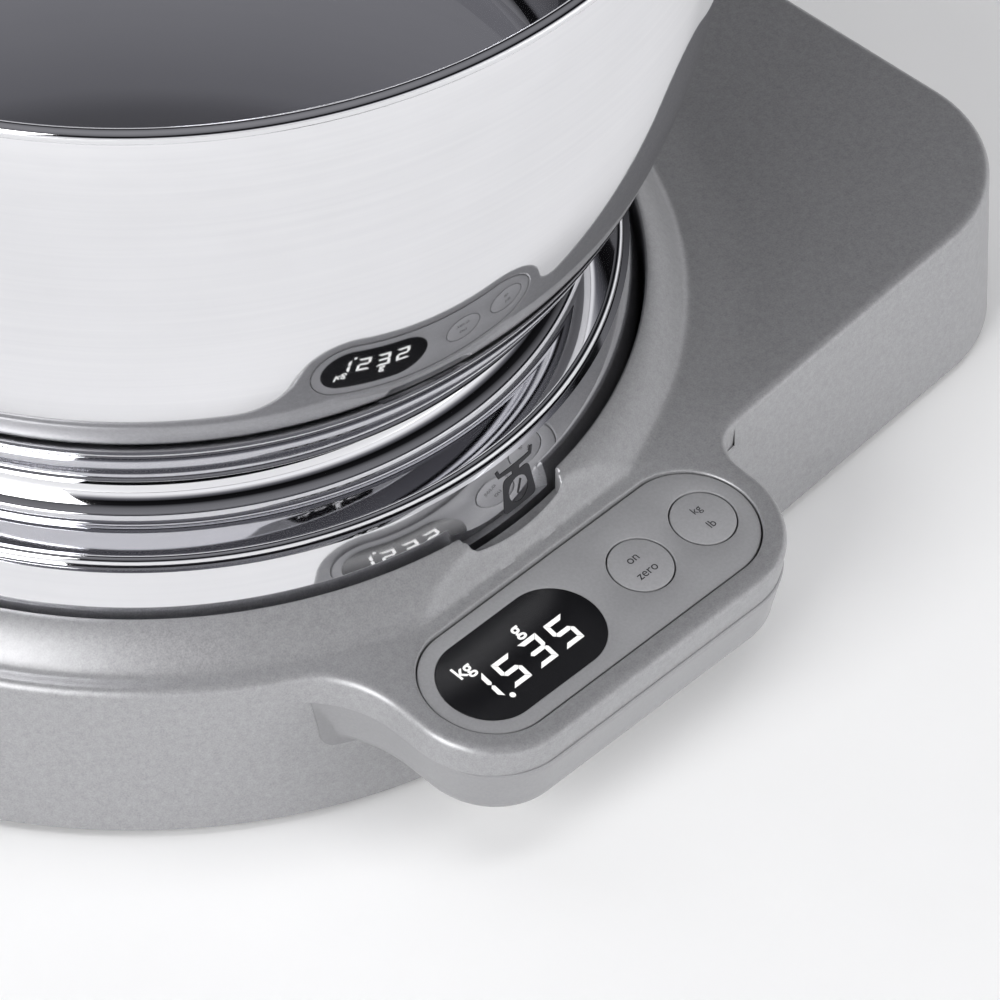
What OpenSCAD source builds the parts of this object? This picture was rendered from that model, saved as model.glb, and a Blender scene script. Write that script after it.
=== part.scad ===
// Kitchen machine base with a built-in weighing scale and a lift-off bowl.
// Origin on the bowl's axis at the surface that the feet stand on, +Z up.
// +X runs to the rear end of the base, -Y to the user and the control pod.

/* [Base] */
// Outside radius of the round end of the base
base_r = 120; // [118:1:126]
// Distance from the bowl's axis to the rear end
rear_reach = 165; // [160:1:190]
// Narrowing of each side towards the rear, in degrees
side_taper = 3.4; // [2:0.1:4]
// Height of the deck's outer edge
deck_h = 40.5; // [39.5:0.5:43]
// Radius of the two rear corners
rear_corner_r = 34; // [24:1:45]
// Wall thickness of the plastic shells
wall = 2.5; // [2:0.1:3]

/* [Well and collar] */
// Inside radius of the collar
collar_r = 107; // [106:0.5:109]
// Height of the collar's inner edge
collar_h = 51; // [49:0.5:53]
// Width of the collar's sloping band
collar_w = 8; // [7:0.5:9]
// Half of the angle that the marking notch takes out of the collar
notch_half_angle = 7.7; // [5:0.1:10]

/* [Control pod] */
// Distance from the bowl's axis to the panel's long centre line
panel_reach = 129.7; // [129:0.1:134]
// Height of the panel's centre
panel_h = 37.3; // [36:0.1:39]
// Tilt of the panel towards the user, in degrees
panel_tilt = 8.7; // [6:0.1:11]
// Distance from the panel's middle to the centre of each round end
panel_half = 31.25; // [29:0.25:34]
// Radius of the panel's round ends
panel_r = 14.8; // [14:0.1:16]
// Width of the shell's rim around the panel
pod_rim = 5.4; // [4.5:0.1:7]
// Depth from the panel down to the seam with the lower housing
seam_drop = 7; // [5:0.1:8]
// Depth of the lower housing under the seam
housing_drop = 14; // [12:0.5:16]
// Radius of each round button
button_r = 7.1; // [6:0.1:7.2]
// Distance of the zero button from the panel's middle
zero_x = 15.7; // [15:0.1:17]
// Distance of the unit button from the panel's middle
unit_x = 35; // [33:0.1:36]

/* [Scale] */
// Length of the load cell's beam
cell_len = 80; // [70:1:90]
// Width and height of the load cell's beam
cell_size = 12.7; // [10:0.1:13]
// Radius of the weighing platform
platform_r = 103.5; // [100:0.5:104]

/* [Bowl] */
// Radius of the foot's flat top, where its neck begins to curve
foot_r = 100; // [99:0.5:100]
// Outside radius of the foot's skirt, just inside the well
skirt_r = 105.9; // [105:0.1:106.2]
// Height of the foot's shoulder
shoulder_h = 63; // [62:0.5:64]
// Radius of the foot's neck under the bowl
neck_r = 87; // [80:0.5:88]
// Radius of the bowl's wall at its widest
bowl_r = 125.5; // [124:0.5:130]
// Height of the bowl's rim
rim_h = 205; // [180:1:230]
// Sheet thickness of the bowl
sheet = 1.2; // [0.8:0.1:1.5]

/* [Hidden] */
$fn = 96;

foot_drop = 2;                        // height of the rubber feet under the pan
gap = 0.3;                            // clearance between neighbouring pieces
pan_t = 2.5;                          // thickness of the pan's floor
pan_top = foot_drop + pan_t;
well_wall = 2.2;
ledge_h = 17;                         // underside of the ledge that closes the well
ledge_t = 2;
ledge_r = 72;                         // hole in the ledge that the load cell works through
crown_w = 1.6;                        // flat land on top of the collar
deck_rise = 2;                        // deck height at the collar above the outer edge
pod_half = panel_half + panel_r + pod_rim;
pod_corner_r = panel_r + pod_rim;
front_fillet = 25;                    // blend from the pod to the round end
rear_fillet = 8;                      // blend from the pod to the straight side
blend_bite = 1.5;                     // how far each blend's circle cuts into the base outline
rim_up = 0.5;                         // the shell's rim stands this much above the insert
insert_t = 2;
board_z = -8.6;                       // underside of the control board, from the panel
board_t = 1.6;
board_half = 7.5;
switch_h = 1.8;
flange_t = 0.9;
flange_r = button_r + 1.2;
lens_r = 11.1;
lens_right = -10.76;                  // centre of the window's right-hand round end
boss_r = 3.5;
screw_r = 1.5;
screw_ring_r = collar_r + well_wall + boss_r + gap;
rear_screw = [rear_reach - 22, 86];
boss_top = deck_h - wall;
pod_screw_x = 34;
pod_screw_z = 23;
cell_floor = 8.5;                     // underside of the load cell
cell_top = cell_floor + cell_size;
platform_z = cell_top + 2;
platform_t = 3;
pad_h = 1.5;
foot_z = platform_z + platform_t + pad_h;
// Height above which the foot's skirt leans inwards
skirt_lean_z = 47;
bolt_r = 2;
bay_half = 27;                        // half width of the battery bay
bay_z0 = 7;
bay_z1 = 31;
tray_depth = 15;
tray_x = rear_reach - wall - gap - tray_depth;
cell_r = 5.25;
battery_len = 44.5;
door_t = 2.2;
hinge_r = 1.1;
hinge_z = bay_z0 + gap + hinge_r;
hinge_x = rear_reach - door_t / 2;
wall_arc_r = 172.4;                   // vertical curve of the bowl's wall
wall_arc_z = 175;                     // height where the wall stands upright
knuckle_r = 8;                        // rounding between the bowl's wall and bottom
knuckle_z = 81;                       // height where the rounding meets the wall

// ---- outlines -------------------------------------------------------------

// Outline of the base, moved inwards by the given inset.
module base_outline(inset = 0) {
  r = base_r - inset;
  corner = rear_corner_r - inset;
  // The corner circle touches both the tapered side and the rear end.
  corner_x = rear_reach - rear_corner_r;
  corner_y = (base_r - rear_corner_r - corner_x * sin(side_taper)) / cos(side_taper);
  circle(r, $fn = 180);
  for (side = [-1, 1])
    translate([corner_x, side * corner_y]) circle(corner + 0.05);
  side_x = r * sin(side_taper);
  side_y = r * cos(side_taper);
  far_x = corner_x + corner * sin(side_taper);
  far_y = corner_y + corner * cos(side_taper);
  polygon([[side_x, -side_y], [far_x, -far_y], [far_x, far_y], [side_x, side_y]]);
  translate([0, -corner_y]) square([rear_reach - inset, 2 * corner_y]);
}

// Straight-sided part of the pod with its two outer corners rounded.
module pod_block(inset = 0) {
  corner = pod_corner_r - inset;
  for (side = [-1, 1])
    translate([side * panel_half, -panel_reach]) circle(corner);
  translate([-panel_half, -panel_reach - corner]) square([2 * panel_half, corner]);
  translate([-pod_half + inset, -panel_reach]) square([2 * (pod_half - inset), 40]);
}

// Pod outline outside the base, with the hollow blends that run into it.
module pod_outline() difference() {
  pod_full();
  base_outline(3);
}

module pod_full() {
  front_c = pod_half + front_fillet;
  front_y = sqrt(pow(base_r + front_fillet - blend_bite, 2) - pow(front_c, 2));
  rear_c = pod_half + rear_fillet;
  rear_y = (base_r + rear_fillet - blend_bite - rear_c * sin(side_taper)) / cos(side_taper);
  front_end = (base_r - 3) / (base_r + front_fillet);
  pod_block();
  difference() {
    polygon([
      [-pod_half + 1, -front_y], [-pod_half, -front_y], [-front_c * front_end, -front_y * front_end],
      [-front_c * front_end, -base_r / 2], [-pod_half + 1, -base_r / 2]
    ]);
    translate([-front_c, -front_y]) circle(front_fillet);
  }
  difference() {
    translate([pod_half - 1, -rear_y]) square([rear_fillet + 1, rear_y - base_r / 2]);
    translate([rear_c, -rear_y]) circle(rear_fillet);
  }
}

// Long shape with two round ends, from x0 to x1 between the end centres.
module stadium(r, x0, x1) {
  translate([x0, 0]) circle(r);
  translate([x1, 0]) circle(r);
  translate([x0, -r]) square([x1 - x0, 2 * r]);
}

// Places children in the panel's own frame: its surface is z = 0.
module panel_frame() {
  translate([0, -panel_reach, panel_h]) rotate([panel_tilt, 0, 0]) children();
}

// Places children at each case screw.
module case_screw_places() {
  for (angle = [55, 125, 180, 235, 305])
    rotate(angle) translate([screw_ring_r, 0, 0]) children();
  for (side = [-1, 1])
    translate([rear_screw[0], side * rear_screw[1], 0]) children();
}

// Places children at the two screws that hold the pod's housing from inside,
// with +Z pointing out through the wall.
module pod_screw_places() {
  reach = base_r - wall - 2;
  left_y = sqrt(reach * reach - pod_screw_x * pod_screw_x);
  right_y = (reach - pod_screw_x * sin(side_taper)) / cos(side_taper);
  translate([-pod_screw_x, -left_y, pod_screw_z]) rotate([90, 0, 0]) children();
  translate([pod_screw_x, -right_y, pod_screw_z]) rotate([90, 0, 0]) children();
}

// Places children at both ends of the control board.
module board_screw_places() {
  for (side = [-1, 1])
    translate([side * (panel_half + 10), 0, 0]) children();
}

// ---- casing ---------------------------------------------------------------

// Turned part of the shell: the collar, the well's wall and its ledge.
module collar_ring() {
  outer = collar_r + crown_w + collar_w;
  rotate_extrude($fn = 180)
    polygon([
      [ledge_r - 1, ledge_h], [collar_r + well_wall, ledge_h],
      [collar_r + well_wall, collar_h - 6], [outer - 1, deck_h - wall + 0.4],
      [outer + 1.5, deck_h + deck_rise - 1.2], [outer - 0.5, deck_h + deck_rise],
      [collar_r + crown_w + 0.6, collar_h - 0.4], [collar_r + crown_w - 0.4, collar_h],
      [collar_r + 0.8, collar_h], [collar_r - 1, collar_h - 1.8],
      [collar_r - 1, ledge_h + ledge_t + 1], [ledge_r - 1, ledge_h + ledge_t + 1]
    ]);
}

// Flat space under the tilted top of the pod, down to the seam.
module pod_space(top, inset) {
  panel_frame()
    translate([0, panel_reach, -seam_drop])
      linear_extrude(seam_drop + top) pod_block(inset);
}

module top_shell() color("#9a9a9a") difference() {
  union() {
    difference() {
      translate([0, 0, foot_drop]) linear_extrude(deck_h - foot_drop) base_outline();
      translate([0, 0, foot_drop - 1]) linear_extrude(deck_h - wall - foot_drop + 1) base_outline(wall);
    }
    // The deck falls gently from the collar to its outer edge.
    intersection() {
      translate([0, 0, deck_h - 0.1]) linear_extrude(deck_rise) base_outline();
      translate([0, 0, deck_h - 0.2])
        cylinder(r1 = base_r + 8, r2 = collar_r + collar_w - 1, h = deck_rise + 0.3, $fn = 180);
    }
    difference() {
      panel_frame()
        translate([0, panel_reach, -seam_drop])
          linear_extrude(seam_drop + rim_up) pod_outline();
      pod_space(-insert_t - 0.2, wall);
      translate([-base_r, -2 * base_r, deck_h - 0.1]) cube([2 * base_r, 2 * base_r, 20]);
    }
    case_screw_places() translate([0, 0, pan_top]) cylinder(r = boss_r, h = boss_top - pan_top + 0.5);
    collar_ring();
  }
  // The bowl well, then the notch that shows the mark on the bowl's foot.
  translate([0, 0, ledge_h + ledge_t]) cylinder(r = collar_r, h = 60, $fn = 180);
  translate([0, 0, ledge_h - 1]) cylinder(r = ledge_r, h = 9);
  rotate(-90 - notch_half_angle)
    rotate_extrude(angle = 2 * notch_half_angle, $fn = 180)
      translate([collar_r - 2, collar_h - 4]) square([5, 10]);
  // Opening for the insert, and a window through the wall for the pod's cables.
  panel_frame() translate([0, 0, -insert_t - 1])
    linear_extrude(10) stadium(panel_r + 0.15, -panel_half, panel_half);
  translate([-20, -base_r - 6, 21]) cube([40, 14, 7]);
  pod_screw_places() translate([0, 0, -2]) cylinder(r = screw_r + 0.1, h = 12);
  // Battery opening in the rear wall.
  translate([rear_reach - wall - 1, -bay_half - 1, bay_z0]) cube([wall + 2, 2 * bay_half + 2, bay_z1 - bay_z0]);
  case_screw_places() translate([0, 0, pan_top - 1]) cylinder(r = screw_r + 0.1, h = 13);
}

module base_pan() color("#8a8a8c") difference() {
  union() {
    translate([0, 0, foot_drop]) linear_extrude(pan_t) base_outline(wall + gap);
    // Boss that carries the fixed end of the load cell.
    translate([-cell_len / 2, -cell_size / 2 - 2, pan_top - 0.1])
      cube([24, cell_size + 4, cell_floor - 2 - pan_top + 0.1]);
    // Nut boss for the overload stop.
    translate([cell_len / 2 - 8, 0, pan_top - 0.1]) cylinder(r = 5, h = 1.6);
    // Stiffening ribs.
    for (side = [-1, 1])
      translate([-80, side * 30 - 1, pan_top - 0.1]) cube([170, 2, 6]);
  }
  case_screw_places() translate([0, 0, foot_drop - 1]) cylinder(r = screw_r + 0.3, h = pan_t + 2);
  case_screw_places() translate([0, 0, foot_drop - 1]) cylinder(r = 3.2, h = 2);
  translate([-cell_len / 2, 0, foot_drop - 1]) {
    for (x = [5, 17])
      translate([x, 0, 0]) cylinder(r = bolt_r + 0.1, h = 12);
    for (x = [5, 17])
      translate([x, 0, 0]) cylinder(r = 4, h = 2.2);
  }
  translate([cell_len / 2 - 8, 0, foot_drop - 1]) cylinder(r = bolt_r + 0.05, h = 12);
}

// Lower housing of the pod, which narrows a little downwards.
module housing_form(inset) {
  floor_z = -seam_drop - housing_drop + inset;
  corner = pod_corner_r - inset;
  hull() {
    translate([0, 0, -seam_drop - gap / 2 - 3]) {
      for (side = [-1, 1])
        translate([side * panel_half, 0, 0]) cylinder(r = corner - 0.5, h = 3, $fn = 48);
      translate([-pod_half + inset + 0.5, 0, 0]) cube([2 * (pod_half - inset) - 1, 34, 3]);
    }
    translate([0, 0, floor_z]) {
      for (side = [-1, 1])
        translate([side * (panel_half - 2), 2, 0]) cylinder(r = corner - 3, h = 1, $fn = 48);
      translate([-pod_half + inset + 5, 2, 0]) cube([2 * (pod_half - inset) - 10, 32, 1]);
    }
  }
}

module pod_housing() color("#a9a9ab") {
  difference() {
    panel_frame() housing_form(0);
    panel_frame() translate([0, 0, 0.5]) housing_form(wall);
    translate([0, 0, -5]) linear_extrude(60) base_outline(-gap / 2);
    pod_screw_places() translate([0, 0, -1]) cylinder(r = screw_r + 0.1, h = 14);
  }
  // Posts that the control board is screwed to.
  panel_frame() board_screw_places() difference() {
    translate([0, 0, -seam_drop - housing_drop + 1]) cylinder(r = 3, h = housing_drop + seam_drop - 1 + board_z);
    translate([0, 0, board_z - 6]) cylinder(r = 1.05, h = 7);
  }
  // Bosses for the screws that come through the base's wall.
  difference() {
    pod_screw_places() cylinder(r = 2.8, h = 14);
    pod_screw_places() translate([0, 0, -1]) cylinder(r = screw_r + 0.1, h = 14);
    translate([0, 0, -5]) linear_extrude(60) base_outline(-gap / 2);
  }
}

module case_screws() color("#707070") case_screw_places() {
  translate([0, 0, foot_drop + 0.2]) cylinder(r = 2.9, h = 0.8);
  translate([0, 0, foot_drop + 0.9]) cylinder(r = screw_r, h = 12);
}

module pod_screws() color("#707070") pod_screw_places() {
  translate([0, 0, -1]) cylinder(r = 2.8, h = 1.8);
  cylinder(r = screw_r, h = 13);
}

module rubber_feet() color("#2b2b2b")
  for (p = [[-72, -72], [-72, 72], [rear_reach - 60, -80], [rear_reach - 60, 80]])
    translate([p[0], p[1], 0]) cylinder(r = 9, h = foot_drop);

// ---- control pod ----------------------------------------------------------

module control_insert() color("#8f8f91") panel_frame() difference() {
  translate([0, 0, -insert_t]) linear_extrude(insert_t) stadium(panel_r, -panel_half, panel_half);
  translate([0, 0, -insert_t - 1])
    linear_extrude(insert_t + 2) stadium(lens_r + 0.1, -panel_half, lens_right);
  for (x = [zero_x, unit_x])
    translate([x, 0, -insert_t - 1]) cylinder(r = button_r + 0.3, h = insert_t + 2);
}

module display_lens() color("#141414") panel_frame()
  translate([0, 0, -1.5]) linear_extrude(1.45) stadium(lens_r, -panel_half, lens_right);

module display_module() color("#30342f") panel_frame()
  translate([-panel_half - 8, -8.5, -4.9]) cube([lens_right + panel_half + 15, 17, 2.8]);

// Round cap with a retaining flange under the insert and a short stem.
module button(x) color("#8b8b8d") panel_frame() translate([x, 0, 0]) {
  translate([0, 0, -3.3]) cylinder(r = button_r, h = 3.25);
  translate([0, 0, -3.3]) cylinder(r = flange_r, h = flange_t);
  translate([0, 0, -3.9]) cylinder(r = 1.6, h = 0.8);
}

module zero_button() button(zero_x);
module unit_button() button(unit_x);

// Board with a hole at each end for its screws.
module control_board() color("#1f6b3a") panel_frame() difference() {
  translate([0, 0, board_z])
    linear_extrude(board_t) stadium(board_half, -panel_half - 5, panel_half + 5);
  board_screw_places() translate([0, 0, board_z - 1]) cylinder(r = 1.3, h = board_t + 2);
}

module tact_switches() color("#3a3a3a") panel_frame()
  for (x = [zero_x, unit_x]) translate([x, 0, board_z + board_t]) {
    translate([-3, -3, 0]) cube([6, 6, switch_h]);
    translate([0, 0, switch_h - 0.1]) cylinder(r = 1.5, h = 0.4);
  }

module board_screws() color("#b0b0b0") panel_frame() board_screw_places() {
  translate([0, 0, board_z + board_t]) cylinder(r = 2.2, h = 1);
  translate([0, 0, board_z - 4]) cylinder(r = 1, h = 6);
}

module buzzer() color("#222222") panel_frame()
  translate([4.5, 0, board_z + board_t]) cylinder(r = 4, h = 2.2);

// ---- scale ----------------------------------------------------------------

// Beam with two joined bores that let it bend as a parallelogram.
module load_cell() color("#c4c6c9") difference() {
  translate([-cell_len / 2, -cell_size / 2, cell_floor]) cube([cell_len, cell_size, cell_size]);
  translate([0, cell_size, cell_floor + cell_size / 2]) rotate([90, 0, 0]) {
    for (x = [-8, 8])
      translate([x, 0, 0]) cylinder(r = cell_size / 2 - 1.4, h = 2 * cell_size);
    translate([-8, -2, 0]) cube([16, 4, 2 * cell_size]);
  }
  for (x = [5, 17, cell_len - 17, cell_len - 5])
    translate([x - cell_len / 2, 0, cell_floor - 1]) cylinder(r = bolt_r + 0.05, h = cell_size + 2);
}

// Plate under or over one end of the beam, with its two bolt holes.
module beam_plate(x0, z0) difference() {
  translate([x0, -cell_size / 2, z0]) cube([22, cell_size, 2]);
  for (x = [5, 17])
    translate([x0 + x, 0, z0 - 1]) cylinder(r = bolt_r + 0.1, h = 4);
}

module cell_spacer() color("#8d9094") beam_plate(-cell_len / 2, cell_floor - 2);
module platform_spacer() color("#8d9094") beam_plate(cell_len / 2 - 22, cell_top);

module cell_bolts() color("#b8babd")
  for (x = [5, 17]) translate([x - cell_len / 2, 0, 0]) {
    translate([0, 0, foot_drop - 0.3 + 0.5]) cylinder(r = 3.6, h = 1);
    translate([0, 0, foot_drop + 1]) cylinder(r = bolt_r, h = 14);
  }

module platform_bolts() color("#b8babd")
  for (x = [-17, -5]) translate([x + cell_len / 2, 0, 0]) {
    translate([0, 0, platform_z + platform_t - 1.5]) cylinder(r = 3.6, h = 1.4);
    translate([0, 0, cell_top - 8]) cylinder(r = bolt_r, h = platform_z + platform_t - cell_top + 7);
  }

// Disc that carries the bowl, with a raised ring that centres its foot.
module platform() color("#5e6063") difference() {
  union() {
    translate([0, 0, platform_z]) cylinder(r = platform_r, h = platform_t, $fn = 180);
    rotate_extrude($fn = 180) translate([foot_r - 3.5, platform_z + platform_t - 0.1]) square([4.5, 4.1]);
    // Hanging edge that keeps spills off the well's opening.
    rotate_extrude($fn = 180) translate([ledge_r + 4, platform_z - 2]) square([2, 2.1]);
  }
  for (x = [-17, -5]) translate([x + cell_len / 2, 0, platform_z - 1]) {
    cylinder(r = bolt_r + 0.1, h = platform_t + 2);
    translate([0, 0, platform_t - 0.5]) cylinder(r = 3.8, h = 3);
  }
}

module seat_pads() color("#262626")
  for (angle = [30, 90, 150, 210, 270, 330])
    rotate(angle - 8) rotate_extrude(angle = 16, $fn = 180)
      translate([foot_r + 1.1, platform_z + platform_t]) square([2.3, pad_h]);

// Screw under the beam's free end that stops it at full load.
module overload_stop() color("#a0a3a6") translate([cell_len / 2 - 8, 0, 0]) {
  translate([0, 0, foot_drop + 0.2]) cylinder(r = bolt_r, h = cell_floor - foot_drop - 0.8);
}

// Cable from the fixed end of the load cell towards the pod.
cable_points = [
  [-cell_len / 2 - 2, 0, 13], [-cell_len / 2 - 12, -19, 13], [-43, -62, 12.4],
  [-29, -98, 9.5], [-19, -109, 10.5], [-15, -112.5, 15], [-13, -113, 21], [-11.5, -116.5, 24.2], [-10, -122, 24.8]
];

// Round cable through a list of points. Each stretch runs a little past its ends.
module run(points, r) {
  for (i = [0:len(points) - 2]) {
    step = points[i + 1] - points[i];
    flat = norm([step[0], step[1]]);
    translate(points[i]) rotate([0, atan2(flat, step[2]), atan2(step[1], step[0])])
      translate([0, 0, -r / 2]) cylinder(r = r, h = norm(step) + r, $fn = 24);
  }
}

module load_cell_cable() color("#d0d0d0") run(cable_points, 1.4);

// ---- power ----------------------------------------------------------------

lead_points = [
  [tray_x - 2, -20, 12], [tray_x - 14, -60, 8], [80, -98, 8], [45, -111, 13], [16, -114, 24], [10, -122, 24]
];

module battery_lead() color("#b03030") run(lead_points, 1.1);

// Box that is open to the rear, behind the door.
module battery_tray() color("#4a4a4c") difference() {
  translate([tray_x, -bay_half - 1.2, bay_z0 - 1.5]) cube([tray_depth, 2 * bay_half + 2.4, bay_z1 - bay_z0 + 3]);
  translate([tray_x + 1.5, -bay_half, bay_z0]) cube([tray_depth, 2 * bay_half, bay_z1 - bay_z0]);
}

// Places children at the middle of each cell.
module battery_places()
  for (i = [0, 1])
    translate([tray_x + 1.5 + cell_r + 1, 0, bay_z0 + 6.2 + i * 11.6]) children();

module battery_cells() color("#3f6f52") battery_places()
  translate([0, battery_len / 2, 0]) rotate([90, 0, 0]) cylinder(r = cell_r, h = battery_len);

module battery_contacts() color("#d2d4d6") battery_places()
  for (side = [-1, 1]) {
    translate([-4, side * (bay_half - 0.6) - 0.25, -4]) cube([8, 0.5, 8]);
    translate([0, side * (battery_len / 2 + 0.1), 0])
      rotate([side > 0 ? -90 : 90, 0, 0]) cylinder(r1 = 2, r2 = 3, h = bay_half - 0.7 - battery_len / 2);
  }

// Door that hinges outwards on a barrel at its lower edge.
module battery_door() color("#8f8f91") {
  translate([rear_reach - door_t, -bay_half - 0.7, hinge_z]) cube([door_t, 2 * bay_half + 1.4, bay_z1 - gap - hinge_z]);
  translate([hinge_x, bay_half + 0.7, hinge_z]) rotate([90, 0, 0]) cylinder(r = hinge_r, h = 2 * bay_half + 1.4);
}

// ---- bowl -----------------------------------------------------------------

// Points on an arc, from one angle to the other.
function arc(c, r, a0, a1, n = 16) =
  [for (i = [0:n]) let (a = a0 + (a1 - a0) * i / n) [c[0] + r * cos(a), c[1] + r * sin(a)]];

// Centres of the bowl's wall arc and of its knuckle.
wall_angle = asin((wall_arc_z - knuckle_z) / wall_arc_r);
wall_c = [bowl_r - wall_arc_r, wall_arc_z];
knuckle_c = [
  wall_c[0] + (wall_arc_r - knuckle_r) * cos(wall_angle),
  wall_c[1] - (wall_arc_r - knuckle_r) * sin(wall_angle)
];
bottom_z = knuckle_c[1] - knuckle_r;

// Outside line of the foot, moved inwards by t: hem, skirt, groove, rolled
// shoulder and hollow neck.
groove_r = skirt_r - 3.5;
groove_z = shoulder_h - 2.3;

function foot_line(t) = concat(
  [[foot_r + 1.2, foot_z + t]],
  arc([skirt_r - 3, foot_z + 3], 3 - t, -90, 0, 8),
  [[skirt_r - t, skirt_lean_z], [skirt_r - 2.2 - t, groove_z - 0.2 - 0.9 * t], [groove_r - t, groove_z - 0.9 * t]],
  arc([groove_r - 1.6, shoulder_h - 1.6], 1.6 - t, 0, 90, 8),
  arc([foot_r - 5, shoulder_h + 8], 8 + t, -90, -180, 14),
  [[neck_r - t, bottom_z]]
);

function reversed(points) = [for (i = [len(points) - 1:-1:0]) points[i]];

module bowl_foot() color("#d9dadc")
  rotate_extrude($fn = 180) polygon(concat(foot_line(0), reversed(foot_line(sheet))));

// Outside line of the bowl, moved inwards by t: bottom, knuckle and curved wall.
function bowl_line(t) = concat(
  [[0, bottom_z + t]],
  arc(knuckle_c, knuckle_r - t, -90, -wall_angle, 10),
  arc(wall_c, wall_arc_r - t, -wall_angle, 0, 24),
  [[bowl_r - t, rim_h - 2]]
);

module bowl_body() color("#e2e3e5") {
  rotate_extrude($fn = 180) polygon(concat(bowl_line(0), reversed(bowl_line(sheet))));
  translate([0, 0, rim_h - 1.8]) rotate_extrude($fn = 180) translate([bowl_r + 0.6, 0]) circle(1.8, $fn = 24);
}

top_shell();
base_pan();
pod_housing();
control_insert();
display_lens();
display_module();
zero_button();
unit_button();
tact_switches();
control_board();
board_screws();
buzzer();
load_cell();
cell_spacer();
platform_spacer();
cell_bolts();
platform_bolts();
platform();
seat_pads();
overload_stop();
load_cell_cable();
battery_lead();
battery_tray();
battery_cells();
battery_contacts();
battery_door();
rubber_feet();
case_screws();
pod_screws();
bowl_foot();
bowl_body();
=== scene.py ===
"""Looks of a kitchen scale: a painted casing with a control pod, and a polished steel bowl in its well."""
import math

import bmesh
import bpy
import numpy as np
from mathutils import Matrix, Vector
from mathutils.geometry import delaunay_2d_cdt


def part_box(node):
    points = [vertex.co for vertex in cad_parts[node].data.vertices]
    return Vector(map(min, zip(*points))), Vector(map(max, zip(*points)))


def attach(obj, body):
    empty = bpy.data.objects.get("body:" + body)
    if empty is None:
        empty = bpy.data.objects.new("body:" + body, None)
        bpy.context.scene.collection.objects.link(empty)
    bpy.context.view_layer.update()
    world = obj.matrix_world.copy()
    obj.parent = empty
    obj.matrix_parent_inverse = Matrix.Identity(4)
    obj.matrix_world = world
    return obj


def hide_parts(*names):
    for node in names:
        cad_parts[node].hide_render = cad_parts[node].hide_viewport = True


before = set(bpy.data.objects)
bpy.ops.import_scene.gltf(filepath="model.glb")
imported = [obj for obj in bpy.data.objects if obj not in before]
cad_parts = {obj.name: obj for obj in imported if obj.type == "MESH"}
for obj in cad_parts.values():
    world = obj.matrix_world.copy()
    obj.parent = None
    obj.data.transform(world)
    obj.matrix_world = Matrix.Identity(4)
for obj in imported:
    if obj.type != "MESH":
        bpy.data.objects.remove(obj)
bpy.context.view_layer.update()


# ---- camera ----------------------------------------------------------------
# A long lens from the front left, looking down at the control pod and the
# foot of the bowl. The aim point lies on the table under the pod.
aim = Vector((0.0391, -0.0679, 0.0))
camera_turn = math.radians(42.83)
camera_drop = math.radians(43.34)
camera_far = 4.562
sight = Vector((math.cos(camera_drop) * math.cos(camera_turn),
                math.cos(camera_drop) * math.sin(camera_turn),
                -math.sin(camera_drop)))
camera_data = bpy.data.cameras.new("camera")
camera_data.lens = 775
camera_data.sensor_width = 36
camera_data.clip_start = 0.5
camera_data.clip_end = 20
camera = bpy.data.objects.new("camera", camera_data)
camera.location = aim - camera_far * sight
camera.rotation_euler = sight.to_track_quat("-Z", "Y").to_euler()
bpy.context.scene.collection.objects.link(camera)
bpy.context.scene.camera = camera


# ---- studio ----------------------------------------------------------------
# A seamless white table between plain soft boxes: one at the left, a strip
# overhead and one at the right. The room's walls are white low down, dark at
# eye height and grey overhead.
def linear(code):
    """An sRGB hex colour as linear RGBA."""
    out = []
    for i in (1, 3, 5):
        c = int(code[i:i + 2], 16) / 255
        out.append(c / 12.92 if c <= 0.04045 else ((c + 0.055) / 1.055) ** 2.4)
    return (*out, 1.0)


def add(tree, kind, settings=None, inputs=None, links=None):
    """Adds one node with its settings, socket values and incoming links."""
    n = tree.nodes.new(kind)
    for key, value in (settings or {}).items():
        setattr(n, key, value)
    for key, value in (inputs or {}).items():
        n.inputs[key].default_value = value
    for key, source in (links or {}).items():
        tree.links.new(source, n.inputs[key])
    return n


def finish_of(name, build, **surface):
    """A material named for a real finish: build(tree) returns the shader's linked sockets."""
    m = bpy.data.materials.new(name)
    m.use_nodes = True
    tree = m.node_tree
    tree.nodes.clear()
    out = tree.nodes.new("ShaderNodeOutputMaterial")
    shader = add(tree, "ShaderNodeBsdfPrincipled", inputs=surface, links=build(tree))
    tree.links.new(shader.outputs["BSDF"], out.inputs["Surface"])
    return m


# Matt white paper board: a very faint mottle keeps it from looking like a void.
def paper(tree):
    place = add(tree, "ShaderNodeTexCoord").outputs["Object"]
    mottle = add(tree, "ShaderNodeTexNoise", inputs={"Scale": 14.0, "Detail": 3.0}, links={"Vector": place})
    tone = add(tree, "ShaderNodeValToRGB", links={"Fac": mottle.outputs["Fac"]})
    tone.color_ramp.elements[0].color = linear("#f4f4f4")
    tone.color_ramp.elements[1].color = linear("#fbfbfb")
    return {"Base Color": tone.outputs["Color"]}


white_board = finish_of("matt_white_board", paper, Roughness=0.9)
table_half = 6.0
table_mesh = bpy.data.meshes.new("table")
table_mesh.from_pydata([(-table_half, -table_half, 0), (table_half, -table_half, 0),
                        (table_half, table_half, 0), (-table_half, table_half, 0)], [], [(0, 1, 2, 3)])
table_mesh.materials.append(white_board)
table = bpy.data.objects.new("table", table_mesh)
bpy.context.scene.collection.objects.link(table)

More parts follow.
